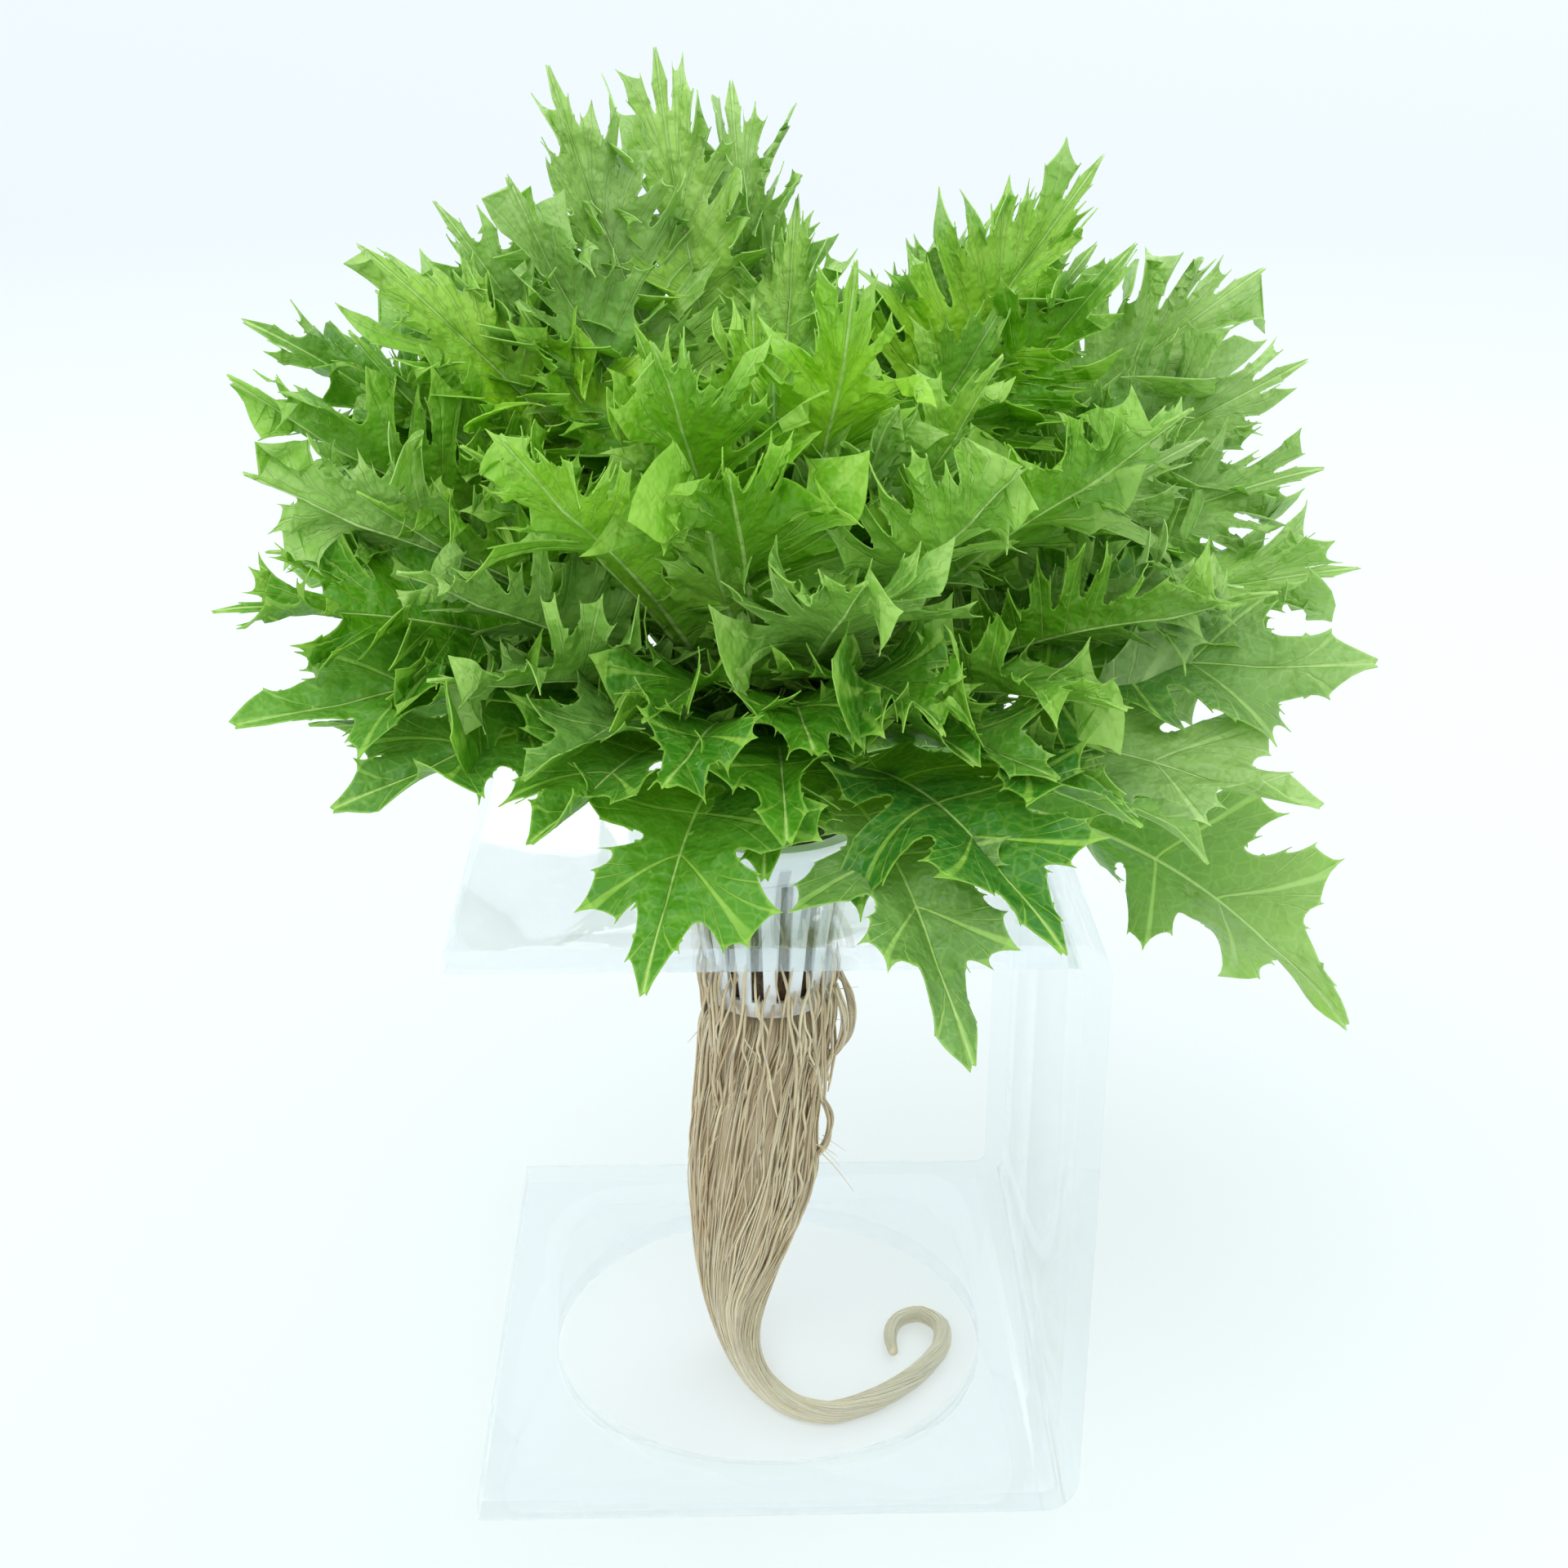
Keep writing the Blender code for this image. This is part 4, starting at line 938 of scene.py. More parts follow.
def make_wall_strands(mat):
    """Strands round the pot that start in its wall and slots, cling to it and join the bundle."""
    rng = np.random.default_rng(WALL_SEED)
    store = new_store()
    for i in range(WALL_STRANDS):
        angle = 2.0 * math.pi * (i + rng.uniform(-0.4, 0.4)) / WALL_STRANDS
        high = rng.uniform(*WALL_TOPS) * MM
        low = rng.uniform(*WALL_ENDS) * MM
        drift = rng.uniform(-0.5, 0.5)
        points = []
        for u in np.linspace(0.0, 1.0, 7):
            z = high + (low - high) * u
            radius = pot_outer_radius(max(z, POT_BOTTOM)) + 1.0 * MM * smooth(0.0, 0.25, u)
            radius -= 1.6 * MM * (1.0 - smooth(0.0, 0.16, u))
            radius += rng.uniform(0.0, 1.3) * MM - 1.0 * MM * smooth(0.6, 1.0, u)
            turn = angle + drift * u + rng.uniform(-0.05, 0.05)
            squeeze = 1.0 - 0.15 * smooth(POT_BOTTOM, 85 * MM, z)
            points.append((AXIS[0] + radius * math.cos(turn), AXIS[1] + radius * math.sin(turn) * squeeze, z))
        centres = curve_through(points, WALL_POINTS)
        radius = rng.uniform(0.22, 0.5) * MM
        radii = radius * np.interp(np.linspace(0, 1, WALL_POINTS), (0.0, 0.1, 0.9, 1.0), (0.4, 1.0, 1.0, 0.4))
        add_tube(store, centres, radii, 6, plain_looks(rng.uniform(0.2, 1.0), WALL_POINTS))
    store_object("root_wall_strands", store, mat)


def make_loop_strands(mat):
    """Loose loops from the foot of the pot's right side to the bundle, and a few stray hairs."""
    rng = np.random.default_rng(LOOP_SEED)
    store = new_store()
    shift = np.array((STAND_X, STAND_Y, 0.0))
    for loop in ROOT_LOOPS:
        for _ in range(LOOP_STRANDS):
            jitter = rng.uniform(-0.9, 0.9, (len(loop), 3)) * MM
            centres = curve_through(np.array(loop) * MM + shift + jitter, LOOP_POINTS)
            radii = np.full(LOOP_POINTS, rng.uniform(0.2, 0.42) * MM)
            add_tube(store, centres, radii, 6, plain_looks(rng.uniform(0.3, 1.0), LOOP_POINTS))
    for _ in range(STRAY_HAIRS):
        turn = rng.uniform(0.0, 2.0 * math.pi)
        z = rng.uniform(*HAIR_HEIGHTS) * MM
        base = AXIS + np.array((math.cos(turn) * 15 * MM, math.sin(turn) * 13 * MM, z))
        out = np.array((math.cos(turn), math.sin(turn), rng.uniform(-1.2, 0.1)))
        length = rng.uniform(*HAIR_LENGTHS) * MM
        bend = rng.uniform(-0.6, 0.6, 3)
        u = np.linspace(0.0, 1.0, HAIR_POINTS)[:, None]
        centres = base + out * length * u + bend * length * u ** 2 * 0.6
        radii = np.linspace(0.16, 0.07, HAIR_POINTS) * MM
        add_tube(store, centres, radii, 4, plain_looks(0.7, HAIR_POINTS))
    store_object("root_loops", store, mat)


def make_roots():
    """Core, strands, wall strands and loops of the root bundle."""
    rows = bundle_rows()
    strand_mat = root_material("root_strand", *STRAND_COLOURS, 0.28)
    core_mat = root_material("root_core", *CORE_COLOURS, 0.4)
    make_root_core(rows, core_mat)
    make_root_strands(rows, strand_mat)
    make_wall_strands(strand_mat)
    make_loop_strands(strand_mat)


# Leaves


def midrib(leaf):
    """Points of the midrib and its three directions, at even steps, with its length and bend."""
    azimuth, reach, rise, arch, _, roll = leaf
    lift = CROWN_RISE * math.degrees(math.atan2(rise, reach)) / 90
    start = np.array((LEAF_START, CROWN_HEIGHT + max(lift, 0.0)))
    tip = np.array((reach * MM, CROWN_HEIGHT + rise * MM))
    chord = np.linalg.norm(tip - start)
    slope = math.atan2(tip[1] - start[1], tip[0] - start[0])
    half_turn = math.radians(arch)
    length = chord * half_turn / math.sin(half_turn)
    s = np.linspace(0.0, 1.0, LEAF_STEPS)
    elevation = slope + half_turn * (1.0 - 2.0 * s)
    heading = math.radians(azimuth)
    out = np.array((math.cos(heading), math.sin(heading), 0.0))
    left = np.array((-math.sin(heading), math.cos(heading), 0.0))
    up = np.array((0.0, 0.0, 1.0))
    along = np.outer(np.cos(elevation), out) + np.outer(np.sin(elevation), up)
    steps = 0.5 * (along[1:] + along[:-1]) * length / (LEAF_STEPS - 1)
    origin = AXIS + out * start[0] + up * start[1]
    line = np.vstack((origin, origin + np.cumsum(steps, axis=0)))
    turn = np.radians(roll) * smooth(0.05, 0.6, s)
    plain = np.cross(along, left)
    side = np.cos(turn)[:, None] * left + np.sin(turn)[:, None] * plain
    normal = np.cross(along, side)
    return s, line, along, side, normal, length, 2.0 * half_turn / length


def rib_root(ribs):
    """Share of the midrib at which each rib starts, and its turn away from the midrib."""
    b = np.clip(ribs / RIB_END, 0.0, 1.0)
    stalk = np.clip(1.0 + ribs / STALK_RIBS, 0.0, 1.0)
    place = np.where(ribs < 0, BLADE_START * stalk,
                     BLADE_START + (BLADE_END - BLADE_START) * b ** 0.9)
    return place, math.radians(RIB_TURN) * (1.0 - b ** TURN_POWER)


def lobe_at(b, lobes):
    """Number of the lobe at a share of the ribs. Lobes stand closer towards the tip."""
    crowd = LOBE_CROWD * (lobes > PLAIN_LOBES)
    return (lobes + 0.5) * 2.0 * b / (1.0 + crowd + np.sqrt((1.0 + crowd) ** 2 - 4.0 * crowd * b))


def rib_at(x, lobes):
    """The rib at a number of the lobes."""
    crowd = LOBE_CROWD * (lobes > PLAIN_LOBES)
    u = x / (lobes + 0.5)
    return RIB_END * ((1.0 + crowd) * u - crowd * u * u)


def rib_reach(leaf, ribs, length, lobe_sizes):
    """How far the blade reaches along each rib before any tooth is cut."""
    half_width = leaf[4] * MM
    b = np.clip(ribs / RIB_END, 0.0, 1.0)
    opening = np.sin(0.5 * math.pi * np.clip(b / WIDEST_AT, 0.0, 1.0)) ** 1.2
    widen = BASE_WIDTH + (1.0 - BASE_WIDTH) * opening
    tip_length = (1.0 - BLADE_END) * length
    spread = half_width * widen + (tip_length - half_width) * smooth(WIDEST_AT, 1.0, b)
    sizes = np.interp(ribs, np.arange(len(lobe_sizes)) - 0.5, lobe_sizes)
    sizes += (1.0 - sizes) * smooth(0.85, 1.0, b)
    blade = spread * sizes + TOOTH_HEIGHT * smooth(0.0, 0.3, b)
    stalk = np.clip(1.0 + ribs / STALK_RIBS, 0.0, 1.0)
    return np.where(ribs < 0, between(PETIOLE_HALF, stalk), np.maximum(blade, PETIOLE_HALF[1]))


def tooth_tips(rng, lobes, teeth):
    """Places of the tooth tips of one half of a leaf, and the share of the reach of each."""
    places, shares = [0.0], [1.0]
    spread = CROWN_SPREAD * (lobes > PLAIN_LOBES)
    for lobe in range(lobes):
        finger = rng.uniform(*FINGER_SIZES)
        for place, share in teeth:
            jitter = rng.uniform(-TOOTH_JITTER, TOOTH_JITTER)
            size = finger * rng.uniform(*TOOTH_SIZES)
            if rng.random() < TOOTH_CHANCE or share == 1.0:
                places.append(lobe + place + jitter)
                shares.append(share * size * (1.0 + spread * smooth(0.55, 0.95, (lobe + place) / lobes)))
    for place, share in TIP_TEETH:
        places.append(lobes + place + rng.uniform(-TOOTH_JITTER, TOOTH_JITTER))
        shares.append(share)
    return np.array(places + [lobes + 0.5]), np.array(shares + [TIP_SHARE])


def half_outline(rng, tips, shares, lobes, reach_at):
    """Edge of one half of a blade as (rib, distance out), from its base to the leaf's tip."""
    spines = dict(SPINES)
    out = [(rib, float(reach_at(rib))) for rib in np.linspace(-STALK_RIBS, 0.0, 9)[:-1]]
    reaches = shares * reach_at(rib_at(tips, lobes))
    for i in range(len(tips) - 1):
        x0, x1 = tips[i], tips[i + 1]
        r0, r1 = reaches[i], reaches[i + 1]
        out.append((rib_at(x0, lobes), r0))
        middle = float(reach_at(rib_at(0.5 * (x0 + x1), lobes)))
        scale = min(max(middle / FULL_REACH, 0.3), 1.0)
        dip = rng.uniform(*TOOTH_DIP) * scale
        overhang = rng.uniform(0.0, 0.1)
        bottom = rng.uniform(*SINUS_BOTTOM)
        bottom += (TIP_SINUS - bottom) * smooth(0.72, 1.0, x1 / lobes)
        keyhole = rng.uniform(*SINUS_OVERHANG)
        samples = TOOTH_STEPS
        if i > 0 and math.floor(x0) != math.floor(x1) and x1 < tips[-1]:
            dip = max(0.5 * (r0 + r1) - bottom * middle, dip)
            overhang = keyhole
            samples = SINUS_STEPS
        for u in samples:
            x = x0 + (x1 - x0) * (u - overhang * math.sin(2.0 * math.pi * u))
            hollow = (1.0 - abs(2.0 * u - 1.0) ** 2.2) ** 0.72
            r = r0 + (r1 - r0) * u - dip * hollow
            low = PETIOLE_HALF[1] * (1.0 - 0.5 * x / lobes)
            if samples is SINUS_STEPS and u in spines and r > 1.6 * low:
                out.append((rib_at(x + spines[u] * (x1 - x0), lobes), r))
            out.append((rib_at(x, lobes), max(r, low)))
    return out


def flat_place(ribs, distance, length):
    """Place of a point of a rib on the leaf laid flat, along and away from the midrib."""
    place, turn = rib_root(ribs)
    return np.stack((place * length + distance * np.cos(turn), distance * np.sin(turn)), axis=-1)


def find_rib(flat, length):
    """The rib through each flat point, and the distance along it."""
    ribs = np.linspace(-STALK_RIBS, RIB_END, RIB_SEARCH)
    place, turn = rib_root(ribs)
    across = np.abs(flat[:, 1])
    gap = ((flat[:, :1] - place * length) * np.sin(turn) - across[:, None] * np.cos(turn))
    behind = gap[:, 1:] < 0
    found = np.where(behind.any(axis=1), np.argmax(behind, axis=1), RIB_SEARCH - 2)
    rows = np.arange(len(flat))
    before, after = gap[rows, found], gap[rows, found + 1]
    share = np.clip(before / np.where(before > after, before - after, 1.0), 0.0, 1.0)
    rib = ribs[found] + (ribs[found + 1] - ribs[found]) * share
    start, _ = rib_root(rib)
    return rib, np.hypot(flat[:, 0] - start * length, across)


def half_surface(leaf, index, hand, lobes, tips):
    """Table of the points of one half of a blade: a row for each rib, columns along it."""
    s, line, along, side, normal, length, bend = midrib(leaf)
    rng = np.random.default_rng(WAVE_SEED + index)
    tip_wave = rng.uniform(*TIP_WAVE_ANGLES)
    for _ in range(1 if hand > 0 else 2):
        phases = rng.uniform(0.0, 2.0 * math.pi, 2)
        lobe_sizes = rng.uniform(*LOBE_SIZES, LOBES + 2)
    ribs = np.linspace(-STALK_RIBS, RIB_END, TABLE_RIBS)
    reach = rib_reach(leaf, ribs, length, lobe_sizes)
    place, turn = rib_root(ribs)
    b = np.clip(ribs / RIB_END, 0.0, 1.0)
    x = lobe_at(b, lobes)
    local = 2.0 * (x - np.floor(x)) - 1.0

    fine = np.random.default_rng(FINE_SEED + 2 * index + (hand > 0))
    calm = CALM + (1.0 - CALM) * float(smooth(*CALM_RISE, leaf[2]))
    wave = WAVE_ANGLE * np.sin(math.pi * ribs + phases[0])
    ripple = RIPPLE_ANGLE * np.sin(2.1 * math.pi * ribs + phases[1])
    frills = []
    for waves, angle, power in FRILLS:
        start = fine.uniform(0.0, 2.0 * math.pi, 2)
        uneven = 1.1 * np.sin(1.9 * x + start[1])
        frills.append((angle * np.sin(2.0 * math.pi * waves * x + start[0] + uneven), power))
    knots = np.arange(0.0, lobes + 1.0, 0.5)
    curl = ease_between(x, knots, fine.uniform(*CURL_ANGLE, len(knots)))
    tooth_curl = ease_between(x, tips, fine.uniform(*TOOTH_CURL, len(tips)))
    frills += [(curl, CURL_POWER), (tooth_curl, TOOTH_POWER), (LOBE_CUP * local ** 2, 1.0)]
    twists = fine.uniform(-TWIST, TWIST, lobes + 1)
    frills.append((twists[np.floor(x).astype(int)] * np.sin(math.pi * local), 1.2))
    lean = LEAN * np.sin(2.0 * math.pi * LEAN_WAVES * x + fine.uniform(0.0, 2.0 * math.pi))
    gather = smooth(0.0, 0.2, b)
    tip_share = smooth(*TIP_FADE, b)
    free = gather * (1.0 - tip_share)
    root = [np.array([np.interp(place, s, field[:, k]) for k in range(3)]).T
            for field in (line, along, side, normal)]
    position = root[0].copy()
    rows = [position.copy()]
    for step in range(TABLE_STEPS):
        t = (step + 0.5) / TABLE_STEPS * TABLE_REACH
        lift = (wave * t + ripple * t * t) * free + tip_wave * tip_share * t
        for bend_angle, power in frills:
            lift = lift + calm * bend_angle * min(t, 1.05) ** power * free
        angle = np.radians(CUP_ANGLE + lift) - np.cos(turn) * bend * reach * t
        flare = LOBE_FLARE / lobes * np.sin(math.pi * local) * t * t * gather
        heading = turn - flare - lean * t ** 3 * free
        forward = np.cos(heading)[:, None] * root[1] + hand * np.sin(heading)[:, None] * root[2]
        step_vector = np.cos(angle)[:, None] * forward + np.sin(angle)[:, None] * root[3]
        position = position + step_vector * (reach * TABLE_REACH / TABLE_STEPS)[:, None]
        rows.append(position.copy())
    return np.array(rows).transpose(1, 0, 2), lambda at: np.interp(at, ribs, reach)


def look_up(table, ribs, share):
    """Points of a table at given ribs and shares of the reach."""
    row = np.clip((ribs + STALK_RIBS) / (RIB_END + STALK_RIBS), 0.0, 1.0) * (TABLE_RIBS - 1)
    column = np.clip(share / TABLE_REACH, 0.0, 1.0) * TABLE_STEPS
    i = np.minimum(row.astype(int), TABLE_RIBS - 2)
    j = np.minimum(column.astype(int), TABLE_STEPS - 1)
    u, v = (row - i)[:, None], (column - j)[:, None]
    low = table[i, j] * (1 - v) + table[i, j + 1] * v
    high = table[i + 1, j] * (1 - v) + table[i + 1, j + 1] * v
    return low * (1 - u) + high * u


def edge_distance(points, loop):
    """Signed distance from points to a closed outline, positive inside it."""
    starts, ends = loop, np.roll(loop, -1, axis=0)
    along = ends - starts
    offset = points[:, None] - starts[None]
    share = np.clip((offset * along).sum(axis=2) / np.maximum((along ** 2).sum(axis=1), 1e-16), 0.0, 1.0)
    distance = np.linalg.norm(offset - share[..., None] * along, axis=2).min(axis=1)
    y = points[:, 1:2]
    crosses = (starts[:, 1] > y) != (ends[:, 1] > y)
    slope = np.where(along[:, 1] == 0, 1e-12, along[:, 1])
    at = starts[:, 0] + (y - starts[:, 1]) * along[:, 0] / slope
    inside = ((points[:, :1] < at) & crosses).sum(axis=1) % 2 == 1
    return np.where(inside, distance, -distance)


def fill_leaf(loop, length):
    """Triangles inside a flat outline, with rows along the midrib and even cells elsewhere."""
    base = np.array(((0.0, 0.0),))
    tip_x = loop[:, 0].max()
    ring = np.vstack((base, loop))
    rib_x = np.arange(RIB_CELL, length, RIB_CELL)
    rib_x = rib_x[rib_x < tip_x - RIB_CELL]
    chain = np.stack((rib_x, np.zeros(len(rib_x))), axis=1)
    rows = [np.stack((rib_x + 0.5 * RIB_CELL, np.full(len(rib_x), v)), axis=1) for v in RIB_ROWS]
    xs = np.arange(0.0, tip_x, CELL)
    ys = np.arange(RIB_ROWS[-1] + 0.8 * CELL, np.abs(loop[:, 1]).max(), CELL * 0.866)
    grid = [np.stack((xs + 0.5 * CELL * (k % 2), np.full(len(xs), y)), axis=1) for k, y in enumerate(ys)]
    upper = np.vstack(rows + grid)
    inner = np.vstack((upper, upper * np.array((1.0, -1.0))))
    inner = inner[edge_distance(inner, ring) > 0.55 * CELL]
    points = np.vstack((ring, chain, inner))
    count = len(ring)
    tip = int(np.argmax(ring[:, 0]))
    edges = [(i, (i + 1) % count) for i in range(count)]
    links = [0] + list(range(count, count + len(chain))) + [tip]
    edges += list(zip(links[:-1], links[1:]))
    flat = [Vector((p[0] / MM, p[1] / MM)) for p in points]
    found, _, faces, origins, _, _ = delaunay_2d_cdt(flat, edges, [], 1, 1e-6)
    flat = np.array([v[:] for v in found]) * MM
    on_edge = np.array([any(k < count for k in origin) for origin in origins])
    triangles = np.array(faces)
    a, b, c = (flat[triangles[:, k]] for k in range(3))
    area = (b[:, 0] - a[:, 0]) * (c[:, 1] - a[:, 1]) - (b[:, 1] - a[:, 1]) * (c[:, 0] - a[:, 0])
    triangles[area < 0] = triangles[area < 0][:, ::-1]
    return flat, triangles, on_edge


def branch_number(x, share, lobes, tips):
    """Number that is whole along the veins that run from a lobe's own vein to its teeth."""
    vein = np.minimum(np.floor(x), lobes) + 0.5
    spread = 0.06 + 0.94 * smooth(0.0, 1.0, share) ** 0.8
    target = np.clip(vein + (x - vein) / spread, vein - 0.5, vein + 0.5)
    return np.interp(target, tips, np.arange(len(tips)))


def leaf_sheet(index, leaf):
    """Points, triangles and looks of one leaf's middle surface."""
    length = midrib(leaf)[5]
    plain = leaf[2] <= FINE_RISE
    lobes = PLAIN_LOBES if plain else int(np.clip(round(length / LOBE_LENGTH), *FINE_LOBES))
    teeth = PLAIN_TEETH if plain else LOBE_TEETH
    sides = []
    for hand in (1, -1):
        rng = np.random.default_rng(OUTLINE_SEED + 2 * index + (hand > 0))
        tips, shares = tooth_tips(rng, lobes, teeth)
        table, reach_at = half_surface(leaf, index, hand, lobes, tips)
        outline = np.array(half_outline(rng, tips, shares, lobes, reach_at))
        flat = flat_place(outline[:, 0], outline[:, 1], length) * np.array((1.0, hand))
        sides.append((tips, table, reach_at, flat))
    tip = BLADE_END + TIP_SHARE * (1.0 - BLADE_END)
    loop = np.vstack((sides[1][3], np.array(((tip * length, 0.0),)), sides[0][3][::-1]))
    flat, triangles, on_edge = fill_leaf(loop, length)
    ribs, distance = find_rib(flat, length)
    points = np.zeros((len(flat), 3))
    looks = np.zeros((len(flat), 5))
    b = np.clip(ribs / RIB_END, 0.0, 1.0)
    x = lobe_at(b, lobes)
    for (tips, table, reach_at, _), part in zip(sides, (flat[:, 1] >= 0, flat[:, 1] < 0)):
        share = distance[part] / reach_at(ribs[part])
        points[part] = look_up(table, ribs[part], share)
        looks[part, 2] = branch_number(x[part], share, lobes, tips)
        looks[part, 4] = share
    looks[:, 0] = np.abs(flat[:, 1]) / MM
    looks[:, 1] = x
    looks[:, 3] = on_edge
    return points, triangles, looks


def keep_clear(points):
    """Lift or push out the points that would come near the stand's outline or the pot's rim."""
    out = points.copy()
    floor = STAND_TOP + CLEAR_OF_STAND
    middle = np.array((STAND_X, STAND_Y))
    half = 0.5 * np.array((STAND_HIGH.x - STAND_LOW.x, STAND_HIGH.y - STAND_LOW.y)) + CLEAR_OF_STAND
    reach = half - np.abs(out[:, :2] - middle)
    depth = floor - out[:, 2]
    inside = (reach > 0).all(axis=1) & (depth > 0)
    lift = inside & (depth <= reach.min(axis=1))
    out[lift, 2] = floor
    for axis in (0, 1):
        push = inside & ~lift & (reach.argmin(axis=1) == axis)
        out[push, axis] += np.sign(out[push, axis] - middle[axis]) * reach[push, axis]
    radius = np.hypot(out[:, 0] - AXIS[0], out[:, 1] - AXIS[1])
    rim = POT_TOP + CLEAR_OF_RIM
    low = (radius < RIM_RADIUS + CLEAR_OF_RIM) & (out[:, 2] < rim)
    out[low, 2] = rim
    return out


def sheet_normals(points, triangles):
    """Unit normal at each point of a sheet of triangles."""
    a, b, c = (points[triangles[:, k]] for k in range(3))
    crosses = np.cross(b - a, c - a)
    normals = np.zeros_like(points)
    for k in range(3):
        np.add.at(normals, triangles[:, k], crosses)
    return normals / np.maximum(np.linalg.norm(normals, axis=1), 1e-12)[:, None]


def leaf_tones(rng, leaf, points):
    """Tone, pale share and deep green of each point by its place, partly painted light and shade."""
    # Lighter with height and at the inner top: partly the young leaves' own green, partly painted shade low
    # down.
    height = smooth(CROWN_HEIGHT - 20 * MM, CROWN_HEIGHT + 150 * MM, points[:, 2])
    inner = 1.0 - smooth(20 * MM, 95 * MM, np.hypot(points[:, 0] - AXIS[0], points[:, 1] - AXIS[1]))
    tone = TONE_START + TONE_RISE * height + TONE_INNER * inner * height + rng.uniform(*TONE_CHANCE)
    # Low plain leaves get a deep blue-green, partly their own colour and partly painted shade.
    deep = rng.uniform(*(DEEP_PLAIN if leaf[2] <= FINE_RISE else DEEP_OTHER))
    # Paler at the top and at the left and right sides: painted light where more light falls, with a chance
    # per leaf.
    high = smooth(CROWN_HEIGHT + 90 * MM, CROWN_HEIGHT + 175 * MM, points[:, 2])
    right = smooth(50 * MM, 150 * MM, points[:, 0] - AXIS[0])
    left = smooth(50 * MM, 140 * MM, AXIS[0] - points[:, 0])
    low = smooth(CROWN_HEIGHT - 5 * MM, CROWN_HEIGHT - 45 * MM, points[:, 2])
    pale = 1.0 * high + (0.95 + 0.6 * low) * right + 0.4 * left + rng.uniform(*PALE_CHANCE)
    return tone, np.clip(pale, 0.0, 1.0), np.full(len(points), max(deep, 0.0))


def leaf_faces(triangles, count):
    """Faces of both sides of a sheet and of the strip that joins their edges."""
    starts = triangles[:, (0, 1, 2)].ravel()
    ends = triangles[:, (1, 2, 0)].ravel()
    keys = starts.astype(np.int64) * count + ends
    twins = ends.astype(np.int64) * count + starts
    border = ~np.isin(keys, twins)
    rim = np.stack((ends[border], starts[border], starts[border] + count, ends[border] + count), axis=1)
    return triangles.tolist() + (triangles[:, ::-1] + count).tolist() + rim.tolist()


def make_leaf(index, leaf, mat):
    """One leaf as a thin closed solid, with its looks as attributes."""
    points, triangles, looks = leaf_sheet(index, leaf)
    points = keep_clear(points)
    normals = sheet_normals(points, triangles)
    along = np.linalg.norm(points - points[0], axis=1)
    share = np.clip(along / along.max(), 0.0, 1.0) ** 0.6
    rib_width = between(MIDRIB_WIDTH, share) / MM
    keel = between(KEEL_THICKNESS, share)
    bulge = np.exp(-(looks[:, 0] / rib_width) ** 2)
    edge = looks[:, 3]
    half = 0.5 * LEAF_THICKNESS * (1.0 - 0.45 * edge)
    top = points + normals * (half - 0.25 * keel * bulge)[:, None]
    bottom = points - normals * (half + keel * bulge * 0.9)[:, None]
    count = len(points)
    faces = leaf_faces(triangles, count)
    item = mesh_object(f"leaf_{index + 1:02d}", np.vstack((top, bottom)), faces, mat)
    item.data.set_sharp_from_angle(angle=math.radians(SHARP_EDGE))
    tone, pale, deep = leaf_tones(np.random.default_rng(TONE_SEED + index), leaf, points)
    looks[:, 0] /= VEIN_SHARE * rib_width
    under = np.repeat((0.0, 1.0), count)
    place = np.tile(looks[:, :3], (2, 1))
    look = np.stack((np.tile(tone, 2), under, np.tile(edge, 2)), axis=1)
    more = np.tile(np.stack((looks[:, 4], pale, deep), axis=1), (2, 1))
    for name, data in (("leaf_place", place), ("leaf_look", look), ("leaf_share", more)):
        attribute = item.data.attributes.new(name, "FLOAT_VECTOR", "POINT")
        attribute.data.foreach_set("vector", data.astype(np.float32).ravel())
    keep_piece(item, "lettuce_head")


def make_stem(mat):
    """Short pale stem under the leaves."""
    knots = np.array(STEM_PROFILE) * MM
    heights = np.linspace(knots[0, 1], knots[-1, 1], STEM_STEPS)
    radii = np.interp(heights, knots[:, 1], knots[:, 0])
    stem = turned("stem", list(zip(radii, heights)), STEM_STEPS, mat)
    keep_piece(stem, "lettuce_head")


def stem_material():
    """Pale green stem with grain along it."""
    n = Nodes("stem")
    grain = n.noise(n.place((1.0, 1.0, 0.2)), 500.0, 4.0)
    n.set(Base_Color=n.mix(grain, *STEM_COLOURS), Roughness=0.45)
    n.bump(grain, 0.0004, 0.6)
    return n.mat


def make_leaves():
    """Stem and every leaf of the head."""
    mat = leaf_material()
    make_stem(stem_material())
    for index, leaf in enumerate(LEAVES + FILL_LEAVES):
        make_leaf(index, leaf, mat)


# Stage


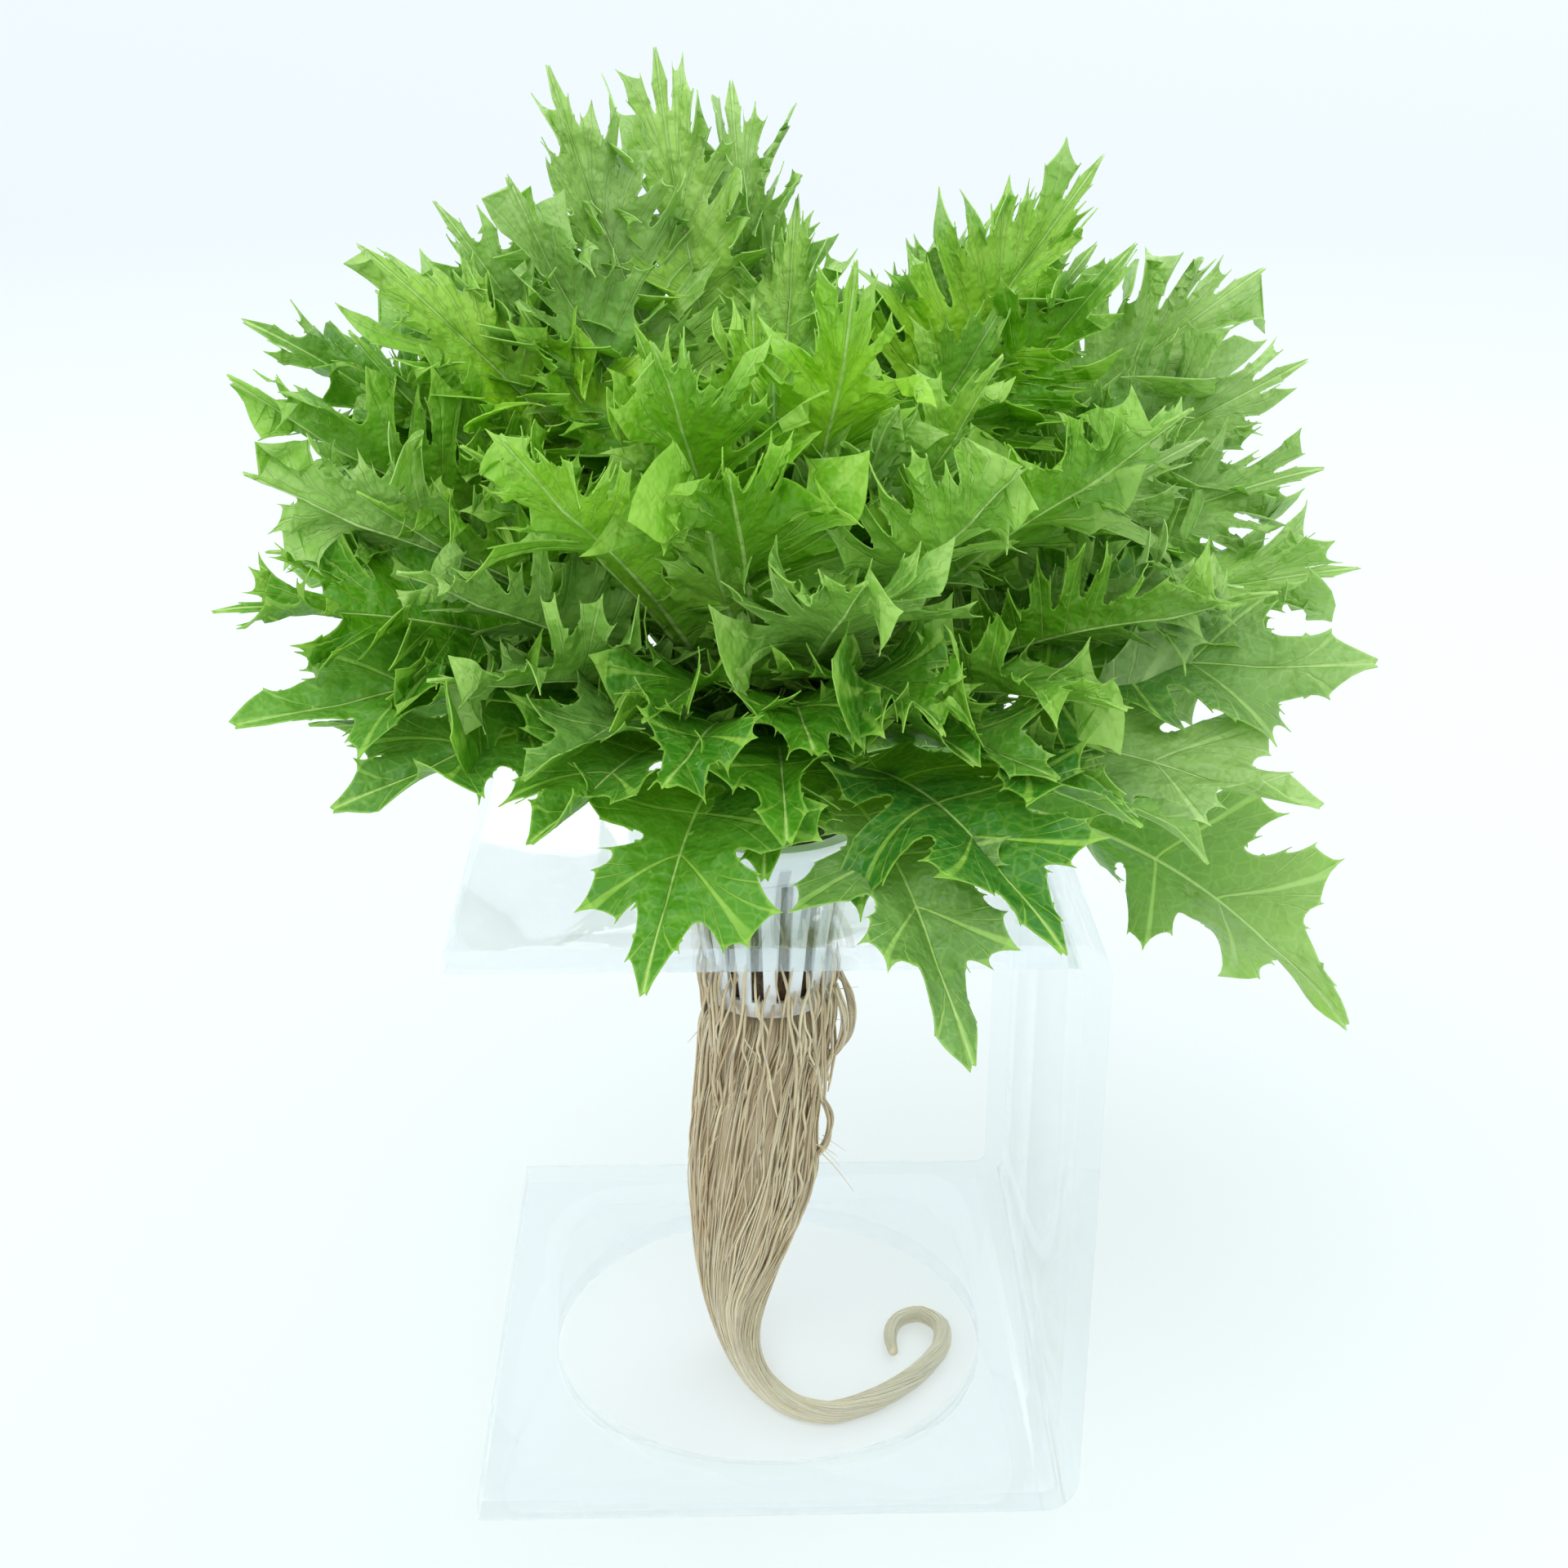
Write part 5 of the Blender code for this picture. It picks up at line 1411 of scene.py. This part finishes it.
def make_floor():
    """Pale table that reaches past every edge of the view."""
    far = FLOOR_REACH
    points = [(-far, -far, 0.0), (far, -far, 0.0), (far, far, 0.0), (-far, far, 0.0)]
    floor = mesh_object("floor", points, [(0, 1, 2, 3)], floor_material())


def sun_light(name, source, strength, softness):
    """Even light from a direction, as soft as a light tent."""
    light = bpy.data.lights.new(name, "SUN")
    light.energy = strength
    light.angle = math.radians(softness)
    item = bpy.data.objects.new(name, light)
    item.location = source
    item.rotation_euler = Vector(source).to_track_quat("Z", "Y").to_euler()
    bpy.context.scene.collection.objects.link(item)


def make_light():
    """Bright even background, three soft suns and the bounces of light."""
    world = bpy.data.worlds.new("studio")
    world.use_nodes = True
    background = world.node_tree.nodes["Background"]
    background.inputs["Color"].default_value = (*BACKGROUND, 1.0)
    background.inputs["Strength"].default_value = SKY_STRENGTH
    bpy.context.scene.world = world
    for name, source, strength, softness in SUNS:
        sun_light(name, source, strength, softness)
    bpy.context.scene.view_settings.view_transform = "Standard"
    bpy.context.scene.cycles.max_bounces = LIGHT_BOUNCES
    bpy.context.scene.cycles.transmission_bounces = LIGHT_BOUNCES
    bpy.context.scene.cycles.diffuse_bounces = DIFFUSE_BOUNCES


def make_camera():
    """Camera at its place, turned by pitch, yaw and roll."""
    pitch, yaw, roll = (math.radians(a) for a in (CAMERA_PITCH, CAMERA_YAW, CAMERA_ROLL))
    forward = Vector((math.sin(yaw) * math.cos(pitch), math.cos(yaw) * math.cos(pitch), -math.sin(pitch)))
    right = Vector((math.cos(yaw), -math.sin(yaw), 0.0))
    up = right.cross(forward)
    rolled_right = right * math.cos(roll) + up * math.sin(roll)
    rolled_up = up * math.cos(roll) - right * math.sin(roll)
    data = bpy.data.cameras.new("camera")
    data.sensor_width = CAMERA_SENSOR
    data.lens = CAMERA_LENS
    data.clip_start = 0.01
    camera = bpy.data.objects.new("camera", data)
    matrix = Matrix((rolled_right, rolled_up, -forward)).transposed().to_4x4()
    matrix.translation = CAMERA_PLACE
    camera.matrix_world = matrix
    bpy.context.scene.collection.objects.link(camera)
    bpy.context.scene.camera = camera


make_camera()
make_stand()
make_pot()
make_plug()
make_roots()
make_leaves()
make_floor()
make_light()
